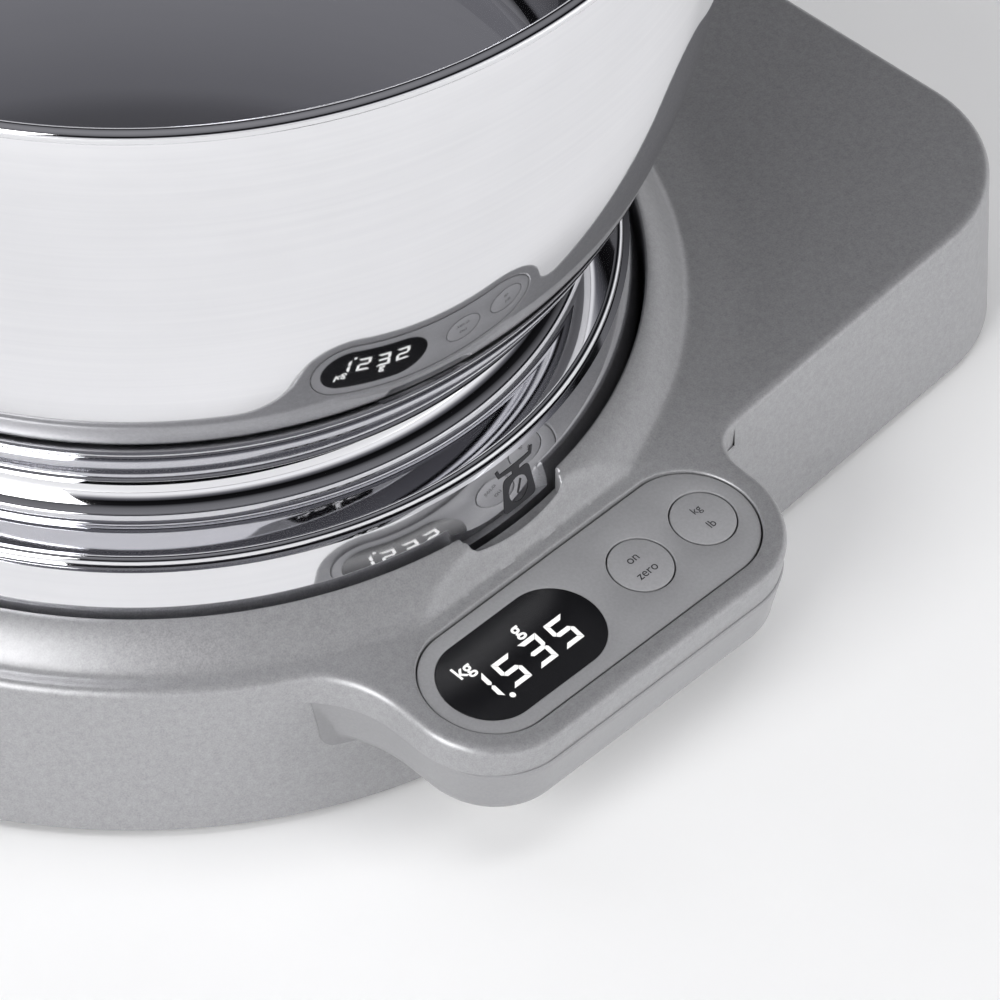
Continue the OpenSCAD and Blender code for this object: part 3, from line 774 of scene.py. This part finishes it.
for words, height, middle in (("kg", 4.7, (-33.45, 4.6)), ("g", 3.75, (-17.35, 4.3))):
    xy, faces = lettering(words, height, middle, 0.02)
    start = len(mark_points)
    mark_points += [(x, y, -0.02) for x, y in xy]
    mark_faces += [[i + start for i in f] for f in faces]
characters = new_piece("display_characters", on_panel(mark_points), mark_faces, lit_segment)
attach(characters, "base")


# ---- keys ------------------------------------------------------------------
# Two round ABS keys, flush in their holes, with pad-printed dark grey words.
key_abs = finish_of("satin_grey_key", satin("#929294", "#8c8c8e"), Roughness=0.36, IOR=1.5)


def ink(tree):
    place = add(tree, "ShaderNodeTexCoord").outputs["Object"]
    speck = add(tree, "ShaderNodeTexNoise", inputs={"Scale": 3000.0}, links={"Vector": place})
    tone = add(tree, "ShaderNodeValToRGB", links={"Fac": speck.outputs["Fac"]})
    tone.color_ramp.elements[0].color = linear("#242427")
    tone.color_ramp.elements[1].color = linear("#2e2e31")
    return {"Base Color": tone.outputs["Color"]}


printing_ink = finish_of("dark_printing_ink", ink, Roughness=0.6)
key_words = (("zero_button", "zero_key", key_places[0], (("on", 1.45, (-0.2, 2.1)), ("zero", 1.45, (-0.3, -2.3)))),
             ("unit_button", "unit_key", key_places[1], (("kg", 2.45, (0.55, 2.35)), ("lb", 1.95, (0.2, -2.1)))))
for node_name, body, x, lines in key_words:
    key = new_piece(f"{node_name}_cap", *plate_mesh([disc(x, key_r)], -0.05, -1.9, 0.28), key_abs, 50)
    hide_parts(node_name)
    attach(key, body)
    word_points, word_faces = [], []
    for words, height, (dx, dy) in lines:
        xy, faces = lettering(words, height, (x + dx, dy), 0.0)
        start = len(word_points)
        word_points += [(px, py, -0.02) for px, py in xy]
        word_faces += [[i + start for i in f] for f in faces]
    label = new_piece(f"{body}_words", on_panel(word_points), word_faces, printing_ink)
    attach(label, body)


# ---- bowl ------------------------------------------------------------------
# A deep-drawn stainless bowl, polished to a mirror outside and inside, with a
# rolled rim. It is spot-welded to a spun foot that stands on the platform.
def turned(name, profile, material, turns=256, sharp=30.0):
    """A closed ring or body of revolution from a closed profile of radius and height."""
    profile = np.array(profile, float)
    a = np.radians(np.arange(turns) * 360 / turns)
    points = np.concatenate([np.column_stack([r * np.cos(a), r * np.sin(a), np.full(turns, z)])
                             for r, z in profile])
    faces = []
    for k in range(len(profile)):
        m = (k + 1) % len(profile)
        if profile[k][0] < 1e-6 and profile[m][0] < 1e-6:
            continue
        for i in range(turns):
            j = (i + 1) % turns
            faces.append([k * turns + i, k * turns + j, m * turns + j, m * turns + i])
    return new_piece(name, points, faces, material, sharp)


def bend(cx, cz, r, a0, a1, count):
    a = np.radians(np.linspace(a0, a1, count))
    return [(cx + r * math.cos(t), cz + r * math.sin(t)) for t in a]


bowl_high = np.array(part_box("bowl_body")[1]) / MM
bowl_r = 125.5
rim_z = bowl_high[2]
sheet = 1.2
wall_arc_r = 172.4
wall_arc_z = 175.0
knuckle_r = 8.0
knuckle_z = 81.0
wall_angle = math.degrees(math.asin((wall_arc_z - knuckle_z) / wall_arc_r))
wall_cx = bowl_r - wall_arc_r
reach = wall_arc_r - knuckle_r
knuckle_c = (wall_cx + reach * math.cos(math.radians(wall_angle)),
             wall_arc_z - reach * math.sin(math.radians(wall_angle)))


def bowl_side(t):
    """Bottom, knuckle and curved wall, moved inwards by t."""
    bottom = knuckle_c[1] - knuckle_r + t
    return ([(0, bottom)] + [(r, bottom) for r in np.linspace(8, knuckle_c[0] - 3, 16)]
            + bend(*knuckle_c, knuckle_r - t, -90, -wall_angle, 14)
            + bend(wall_cx, wall_arc_z, wall_arc_r - t, -wall_angle, 0, 40)[1:])


bead = bend(bowl_r + 0.5, rim_z - 1.8, 1.8, -130, 180, 22)
bowl_profile = bowl_side(0) + [(bowl_r, rim_z - 5)] + bead + [(bowl_r - sheet, rim_z - 3.4)] + bowl_side(sheet)[::-1]


# Mirror-polished 18/10 stainless steel: almost no colour, with the faint
# lathe-line blur that buffing leaves round the bowl.
def mirror_steel(tree):
    place = add(tree, "ShaderNodeTexCoord").outputs["Object"]
    stretched = add(tree, "ShaderNodeMapping", inputs={"Scale": (14.0, 14.0, 900.0)}, links={"Vector": place})
    lines = add(tree, "ShaderNodeTexNoise", inputs={"Scale": 1.0, "Detail": 2.0},
                links={"Vector": stretched.outputs["Vector"]})
    blur = add(tree, "ShaderNodeMapRange", inputs={"To Min": 0.02, "To Max": 0.06},
               links={"Value": lines.outputs["Fac"]})
    tone = add(tree, "ShaderNodeValToRGB", links={"Fac": lines.outputs["Fac"]})
    tone.color_ramp.elements[0].color = linear("#e4e4e7")
    tone.color_ramp.elements[1].color = linear("#ececee")
    return {"Base Color": tone.outputs["Color"], "Roughness": blur.outputs["Result"]}


steel = finish_of("mirror_polished_steel", mirror_steel, Metallic=1.0)
bowl = turned("steel_bowl", bowl_profile, steel)
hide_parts("bowl_body")
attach(bowl, "bowl")

# The foot: a hem turned in at the bottom, a skirt that leans in slightly, a
# groove, a rolled shoulder and a hollow neck.
foot_r = 100.0
skirt_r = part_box("bowl_foot")[1][0] / MM
foot_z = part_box("bowl_foot")[0][2] / MM
shoulder = 63.0
neck_r = 87.0
skirt_lean_z = 47.0
groove_r = skirt_r - 3.5
groove_z = shoulder - 2.3


def foot_side(t):
    """Hem, skirt, groove, shoulder and neck, moved inwards by t."""
    lean = [(skirt_r - t - 2.2 * k / 10, skirt_lean_z + (groove_z - 0.2 - 0.9 * t - skirt_lean_z) * k / 10)
            for k in range(11)]
    return ([(foot_r + 1.2, foot_z + t)] + bend(skirt_r - 3, foot_z + 3, 3 - t, -90, 0, 10)
            + lean + [(groove_r - t, groove_z - 0.9 * t)]
            + bend(groove_r - 1.6, shoulder - 1.6, 1.6 - t, 0, 90, 12)
            + bend(foot_r - 5, shoulder + 8, 8 + t, -90, -180, 24) + [(neck_r - t, knuckle_c[1] - knuckle_r)])


foot = turned("steel_foot", foot_side(0) + foot_side(sheet)[::-1], steel)
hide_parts("bowl_foot")
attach(foot, "bowl")


# ---- mark on the foot ------------------------------------------------------
# A little picture of a scale, etched black on the foot's skirt. It faces the
# notch in the collar and shows which way round the bowl stands.
def decal_loop(points, close=0.6):
    """A closed outline with points no further apart than close."""
    out = []
    for p, q in zip(points, points[1:] + points[:1]):
        steps = max(1, int(math.dist(p, q) / close))
        out += [(p[0] + (q[0] - p[0]) * k / steps, p[1] + (q[1] - p[1]) * k / steps) for k in range(steps)]
    return np.array(out)


def rounded(corners, r):
    """A polygon with its corners rounded."""
    out = []
    for i, p in enumerate(corners):
        before, after = np.array(corners[i - 1]), np.array(corners[(i + 1) % len(corners)])
        p = np.array(p)
        a = p + (before - p) / np.linalg.norm(before - p) * r
        b = p + (after - p) / np.linalg.norm(after - p) * r
        out += [tuple((1 - t) ** 2 * a + 2 * t * (1 - t) * p + t * t * b) for t in np.linspace(0, 1, 7)]
    return out


mark_angle = math.radians(-87.5)
mark_z = 47.1
dish = [(-6.0, 11.6), (-5.1, 11.8), (-4.7, 10.6), (4.7, 10.6), (5.1, 11.8), (6.0, 11.6), (5.3, 9.7), (1.2, 9.4),
        (1.1, 8.4), (-1.1, 8.4), (-1.2, 9.4), (-5.3, 9.7)]
cabinet = rounded([(-5.2, 0), (5.2, 0), (4.1, 8.5), (-4.1, 8.5)], 1.5)
dial = [(3.0 * math.cos(a), 4.1 + 3.0 * math.sin(a)) for a in np.radians(np.arange(0, 360, 12))]
pointer = rounded([(-0.6, 3.2), (-0.1, 2.9), (1.3, 5.9), (0.8, 6.2)], 0.2)
mark_xy, mark_tris = [], []
for outer, holes in ((dish, []), (cabinet, [dial]), (pointer, [])):
    rings_here = [decal_loop(outer)] + [decal_loop(h) for h in holes]
    low, high = rings_here[0].min(0), rings_here[0].max(0)
    gx, gy = np.meshgrid(np.arange(low[0], high[0], 0.8), np.arange(low[1], high[1], 0.8))
    fill = np.stack([gx.ravel(), gy.ravel()], 1)
    fill = fill[inside(fill, rings_here[0])]
    for h in rings_here[1:]:
        fill = fill[~inside(fill, h)]
    spots = np.concatenate(rings_here + [fill])
    limits, start = [], 0
    for loop in rings_here:
        ids = list(range(start, start + len(loop)))
        limits += list(zip(ids, ids[1:] + ids[:1]))
        start += len(loop)
    cut = delaunay_2d_cdt([Vector(p) for p in spots], limits, [], 0, 1e-5)
    xy = np.array([tuple(p) for p in cut[0]])
    tris = np.array(cut[2])
    mid = xy[tris].mean(1)
    good = inside(mid, rings_here[0])
    for h in rings_here[1:]:
        good &= ~inside(mid, h)
    first = sum(len(m) for m in mark_xy)
    mark_xy.append(xy)
    mark_tris += [[i + first for i in t] for t in tris[good]]
mark_xy = np.concatenate(mark_xy)
heights = mark_z + mark_xy[:, 1]
radii = skirt_r - 2.2 * np.clip((heights - skirt_lean_z) / (groove_z - skirt_lean_z), 0, 1) + 0.06
angles = mark_angle + mark_xy[:, 0] / radii
mark = new_piece("etched_scale_mark", np.column_stack([radii * np.cos(angles), radii * np.sin(angles), heights]),
                 mark_tris, printing_ink)
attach(mark, "bowl")



# ---- base pan --------------------------------------------------------------
# The flat ABS floor of the case with its ribs, set inside the cover's lower
# edge. The CAD shape is right as it is and takes the moulded finish.
def dress(node_name, finish):
    """Gives a CAD node a finish through its object's own slots."""
    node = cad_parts[node_name]
    if not node.material_slots:
        node.data.materials.append(finish)
    for place in node.material_slots:
        place.link = "OBJECT"
        place.material = finish


pan_abs = finish_of("moulded_dark_grey_abs", satin("#77777a", "#707073", 1200.0), Roughness=0.5, IOR=1.5)
dress("base_pan", pan_abs)


# ---- case screws -----------------------------------------------------------
# Seven zinc-plated pan-head screws with a cross recess hold the pan and the
# cover together; they sit in pockets in the underside.
def brushed(light, dark, stretch=(30.0, 2400.0, 2400.0)):
    """Fine parallel scratches, as rolling, brushing or turning leaves them."""
    def build(tree):
        place = add(tree, "ShaderNodeTexCoord").outputs["Object"]
        drawn = add(tree, "ShaderNodeMapping", inputs={"Scale": stretch}, links={"Vector": place})
        lines = add(tree, "ShaderNodeTexNoise", inputs={"Scale": 1.0, "Detail": 3.0},
                    links={"Vector": drawn.outputs["Vector"]})
        tone = add(tree, "ShaderNodeValToRGB", links={"Fac": lines.outputs["Fac"]})
        tone.color_ramp.elements[0].color = linear(dark)
        tone.color_ramp.elements[1].color = linear(light)
        dull = add(tree, "ShaderNodeMapRange", inputs={"To Min": 0.28, "To Max": 0.44},
                   links={"Value": lines.outputs["Fac"]})
        return {"Base Color": tone.outputs["Color"], "Roughness": dull.outputs["Result"]}
    return build


zinc = finish_of("zinc_plated_steel", brushed("#b9bcc0", "#a3a6aa", (1500.0, 1500.0, 1500.0)), Metallic=1.0)


def grown(name, seeds, tree, values, finish):
    """Runs a Geometry Nodes tree on seed points in millimetres and keeps the result as a plain mesh."""
    mesh = bpy.data.meshes.new(name)
    mesh.from_pydata([tuple(p) for p in np.asarray(seeds, float) * MM], [], [])
    seed = bpy.data.objects.new(name, mesh)
    bpy.context.scene.collection.objects.link(seed)
    rule = seed.modifiers.new("rule", "NODES")
    rule.node_group = tree
    for item in tree.interface.items_tree:
        if item.item_type == "SOCKET" and item.in_out == "INPUT" and item.name in values:
            rule[item.identifier] = values[item.name]
    bpy.context.view_layer.update()
    made = bpy.data.meshes.new_from_object(seed.evaluated_get(bpy.context.evaluated_depsgraph_get()))
    seed.modifiers.remove(rule)
    seed.data = made
    made.name = name
    if not made.materials:
        made.materials.append(finish)
    return seed


def new_rule(name, sizes):
    """An empty Geometry Nodes tree with a geometry input, named size inputs and an output."""
    tree = bpy.data.node_groups.new(name, "GeometryNodeTree")
    tree.interface.new_socket("Points", in_out="INPUT", socket_type="NodeSocketGeometry")
    for size, kind in sizes:
        tree.interface.new_socket(size, in_out="INPUT", socket_type=kind)
    tree.interface.new_socket("Geometry", in_out="OUTPUT", socket_type="NodeSocketGeometry")
    return tree, tree.nodes.new("NodeGroupInput"), tree.nodes.new("NodeGroupOutput")


length, solid = "NodeSocketFloat", "NodeSocketMaterial"
screw_rule, given, result = new_rule("screw_rule", (
    ("Head radius", length), ("Head height", length), ("Shank radius", length), ("Shank length", length),
    ("Cross width", length), ("Finish", solid)))
head = add(screw_rule, "GeometryNodeMeshCylinder", inputs={"Vertices": 28},
           links={"Radius": given.outputs["Head radius"], "Depth": given.outputs["Head height"]})
bar_size = add(screw_rule, "ShaderNodeCombineXYZ",
               links={"X": given.outputs["Head radius"], "Y": given.outputs["Cross width"],
                      "Z": given.outputs["Head height"]})
bar = add(screw_rule, "GeometryNodeMeshCube", links={"Size": bar_size.outputs["Vector"]})
down = add(screw_rule, "ShaderNodeMath", {"operation": "MULTIPLY"}, {1: -0.6}, {0: given.outputs["Head height"]})
sunk = add(screw_rule, "ShaderNodeCombineXYZ", links={"Z": down.outputs["Value"]})
bar_a = add(screw_rule, "GeometryNodeTransform",
            links={"Geometry": bar.outputs["Mesh"], "Translation": sunk.outputs["Vector"]})
bar_b = add(screw_rule, "GeometryNodeTransform", inputs={"Rotation": (0, 0, math.pi / 2)},
            links={"Geometry": bar.outputs["Mesh"], "Translation": sunk.outputs["Vector"]})
cross = add(screw_rule, "GeometryNodeJoinGeometry")
screw_rule.links.new(bar_a.outputs["Geometry"], cross.inputs["Geometry"])
screw_rule.links.new(bar_b.outputs["Geometry"], cross.inputs["Geometry"])
cut_head = add(screw_rule, "GeometryNodeMeshBoolean", {"operation": "DIFFERENCE"},
               links={"Mesh 1": head.outputs["Mesh"], "Mesh 2": cross.outputs["Geometry"]})
shank = add(screw_rule, "GeometryNodeMeshCylinder", inputs={"Vertices": 20},
            links={"Radius": given.outputs["Shank radius"], "Depth": given.outputs["Shank length"]})
half = add(screw_rule, "ShaderNodeMath", {"operation": "MULTIPLY"}, {1: 0.5}, {0: given.outputs["Shank length"]})
rise = add(screw_rule, "ShaderNodeCombineXYZ", links={"Z": half.outputs["Value"]})
shank_up = add(screw_rule, "GeometryNodeTransform",
               links={"Geometry": shank.outputs["Mesh"], "Translation": rise.outputs["Vector"]})
whole = add(screw_rule, "GeometryNodeJoinGeometry")
screw_rule.links.new(cut_head.outputs["Mesh"], whole.inputs["Geometry"])
screw_rule.links.new(shank_up.outputs["Geometry"], whole.inputs["Geometry"])
set_out = add(screw_rule, "GeometryNodeInstanceOnPoints",
              links={"Points": given.outputs["Points"], "Instance": whole.outputs["Geometry"]})
real = add(screw_rule, "GeometryNodeRealizeInstances", links={"Geometry": set_out.outputs["Instances"]})
plated = add(screw_rule, "GeometryNodeSetMaterial",
             links={"Geometry": real.outputs["Geometry"], "Material": given.outputs["Finish"]})
screw_rule.links.new(plated.outputs["Geometry"], result.inputs["Geometry"])

screw_low, screw_high = (np.array(c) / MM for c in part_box("case_screws"))
screw_ring_r = 113.0
screw_head_h = 0.9
screw_places = [(screw_ring_r * math.cos(a), screw_ring_r * math.sin(a))
                for a in np.radians((55, 125, 180, 235, 305))]
screw_places += [(143.0, side * 86.0) for side in (-1, 1)]
screws = grown("case_screw_set", [(x, y, screw_low[2] + screw_head_h / 2) for x, y in screw_places], screw_rule,
               {"Head radius": 2.8 * MM, "Head height": screw_head_h * MM, "Shank radius": 1.45 * MM,
                "Shank length": (screw_high[2] - screw_low[2] - screw_head_h / 2) * MM, "Cross width": 0.6 * MM,
                "Finish": zinc}, zinc)
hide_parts("case_screws")
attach(screws, "base")


# ---- rubber feet -----------------------------------------------------------
# Four round stick-on feet of black silicone rubber with a softened edge and a
# shallow cup that grips the worktop.
def rubber(tree):
    place = add(tree, "ShaderNodeTexCoord").outputs["Object"]
    grain = add(tree, "ShaderNodeTexNoise", inputs={"Scale": 1400.0, "Detail": 3.0}, links={"Vector": place})
    tone = add(tree, "ShaderNodeValToRGB", links={"Fac": grain.outputs["Fac"]})
    tone.color_ramp.elements[0].color = linear("#1c1c1d")
    tone.color_ramp.elements[1].color = linear("#2a2a2b")
    rough_skin = add(tree, "ShaderNodeBump", inputs={"Strength": 0.25, "Distance": 0.00005},
                     links={"Height": grain.outputs["Fac"]})
    return {"Base Color": tone.outputs["Color"], "Normal": rough_skin.outputs["Normal"]}


black_rubber = finish_of("black_silicone_rubber", rubber, Roughness=0.72, IOR=1.41)
feet_low, feet_high = (np.array(c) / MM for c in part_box("rubber_feet"))
foot_pad_r = 9.0
foot_pad_h = feet_high[2] - feet_low[2]
cup = turned("foot_pad_pattern", [(0, 0.35), (foot_pad_r - 3, 0.3), (foot_pad_r - 2, 0)]
             + bend(foot_pad_r - 0.7, 0.7, 0.7, -90, 0, 5)
             + [(foot_pad_r, foot_pad_h - 0.1), (foot_pad_r - 0.1, foot_pad_h), (0, foot_pad_h)], black_rubber, 40)
pad_rule, given, result = new_rule("foot_rule", (("Pad", "NodeSocketObject"), ("Finish", solid)))
pad_shape = add(pad_rule, "GeometryNodeObjectInfo", links={"Object": given.outputs["Pad"]})
set_out = add(pad_rule, "GeometryNodeInstanceOnPoints",
              links={"Points": given.outputs["Points"], "Instance": pad_shape.outputs["Geometry"]})
real = add(pad_rule, "GeometryNodeRealizeInstances", links={"Geometry": set_out.outputs["Instances"]})
dyed = add(pad_rule, "GeometryNodeSetMaterial",
           links={"Geometry": real.outputs["Geometry"], "Material": given.outputs["Finish"]})
pad_rule.links.new(dyed.outputs["Geometry"], result.inputs["Geometry"])
foot_places = [(x, side * y, feet_low[2]) for x, y in ((-72, 72), (105, 80)) for side in (-1, 1)]
feet = grown("foot_pads", foot_places, pad_rule, {"Pad": cup, "Finish": black_rubber}, black_rubber)
bpy.data.objects.remove(cup)
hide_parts("rubber_feet")
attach(feet, "base")


# ---- battery door ----------------------------------------------------------
# A moulded ABS flap flush with the rear wall, hinged along its lower edge, with
# a row of fine grip ribs sunk in its face.
door_low, door_high = (np.array(c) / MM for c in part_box("battery_door"))
door_round = 2.4
rib_pitch = 1.7
rib_r = 0.5


def door_plate():
    """The flap, rounded at its corners and outer edges, with a shallow field for the ribs."""
    y0, y1, z0, z1 = door_low[1], door_high[1], door_low[2], door_high[2]
    centre = np.array([(y0 + y1) / 2, (z0 + z1) / 2])
    outer = np.array(rounded([(y0, z0), (y1, z0), (y1, z1), (y0, z1)], door_round))
    field = np.array(rounded([(-12, z0 + 9.2), (12, z0 + 9.2), (12, z1 - 3.2), (-12, z1 - 3.2)], 1.6))
    rings_here = []
    for inset, x in ((0, door_low[0]), (0, door_high[0] - 0.5), (0.15, door_high[0] - 0.15),
                     (0.5, door_high[0])):
        scale = 1 - inset / (np.array([y1 - y0, z1 - z0]) / 2)
        rings_here.append(np.column_stack([np.full(len(outer), x), centre + (outer - centre) * scale]))
    lip = np.column_stack([np.full(len(field), door_high[0]), field])
    sunk_field = np.column_stack([np.full(len(field), door_high[0] - 0.55), field])
    points = np.concatenate(rings_here + [lip, sunk_field])
    n, faces = len(outer), []
    for k in range(4):
        for i in range(n):
            j = (i + 1) % n
            faces.append([k * n + i, k * n + j, (k + 1) * n + j, (k + 1) * n + i])
    for i in range(n):
        j = (i + 1) % n
        faces.append([4 * n + i, 4 * n + j, 5 * n + j, 5 * n + i])
    faces.append(list(range(n))[::-1])
    faces.append([5 * n + i for i in range(n)])
    return points, faces


door_points, door_faces = door_plate()
door = new_piece("battery_flap", door_points, door_faces, grey_abs, 30)
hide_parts("battery_door")
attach(door, "door")
rib_rule, given, result = new_rule("grip_rib_rule", (("Length", length), ("Radius", length), ("Finish", solid)))
rod = add(rib_rule, "GeometryNodeMeshCylinder", inputs={"Vertices": 16},
          links={"Radius": given.outputs["Radius"], "Depth": given.outputs["Length"]})
laid = add(rib_rule, "GeometryNodeTransform", inputs={"Rotation": (math.pi / 2, 0, 0)},
           links={"Geometry": rod.outputs["Mesh"]})
set_out = add(rib_rule, "GeometryNodeInstanceOnPoints",
              links={"Points": given.outputs["Points"], "Instance": laid.outputs["Geometry"]})
real = add(rib_rule, "GeometryNodeRealizeInstances", links={"Geometry": set_out.outputs["Instances"]})
soft = add(rib_rule, "GeometryNodeSetShadeSmooth", links={"Geometry": real.outputs["Geometry"]})
moulded = add(rib_rule, "GeometryNodeSetMaterial",
              links={"Geometry": soft.outputs["Geometry"], "Material": given.outputs["Finish"]})
rib_rule.links.new(moulded.outputs["Geometry"], result.inputs["Geometry"])
rib_zs = np.arange(door_low[2] + 10.6, door_high[2] - 4.2, rib_pitch)
ribs = grown("door_grip_ribs", [(door_high[0] - 0.62, 0, z) for z in rib_zs], rib_rule,
             {"Length": 22 * MM, "Radius": rib_r * MM, "Finish": grey_abs}, grey_abs)
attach(ribs, "door")


# ---- weighing works --------------------------------------------------------
# Inside the case: an aluminium beam cell bolted between the pan and a pressed
# platform, which the bowl's foot stands on through six rubber pads.
aluminium = finish_of("machined_aluminium", brushed("#c9cacc", "#b4b6b9"), Metallic=1.0)
anodised = finish_of("dark_anodised_platform", brushed("#55575a", "#4a4c4f", (300.0, 300.0, 300.0)), Metallic=0.7)
dress("platform", anodised)
for name in ("load_cell", "cell_spacer", "platform_spacer"):
    dress(name, aluminium)
for name in ("cell_bolts", "platform_bolts", "overload_stop", "board_screws", "pod_screws"):
    dress(name, zinc)
dress("seat_pads", black_rubber)


# ---- electronics -----------------------------------------------------------
# The green glass-epoxy board with its display module, two key switches and a
# buzzer, and the two cables that reach it.
board_epoxy = finish_of("green_solder_mask", satin("#1f5a3a", "#184a30", 900.0), Roughness=0.32, IOR=1.55)
dark_nylon = finish_of("moulded_black_nylon", satin("#232325", "#1b1b1d", 1500.0), Roughness=0.45, IOR=1.53)
grey_pvc = finish_of("grey_pvc_sheath", satin("#b5b5b3", "#a6a6a4", 700.0), Roughness=0.5, IOR=1.53)
red_pvc = finish_of("red_pvc_sheath", satin("#a3201c", "#8d1a17", 700.0), Roughness=0.5, IOR=1.53)
for name, finish in (("control_board", board_epoxy), ("display_module", smoked_acrylic), ("tact_switches", dark_nylon),
                     ("buzzer", dark_nylon), ("load_cell_cable", grey_pvc), ("battery_lead", red_pvc)):
    dress(name, finish)


# ---- battery bay -----------------------------------------------------------
# A nylon tray with two cells end to end and nickel-plated spring contacts.
nickel = finish_of("nickel_plated_steel", brushed("#c4c3be", "#aeada8", (1200.0, 1200.0, 1200.0)), Metallic=1.0)
cell_film = finish_of("printed_cell_film", satin("#5b6f8c", "#4f627d", 400.0), Roughness=0.3, IOR=1.5)
for name, finish in (("battery_tray", dark_nylon), ("battery_cells", cell_film), ("battery_contacts", nickel)):
    dress(name, finish)
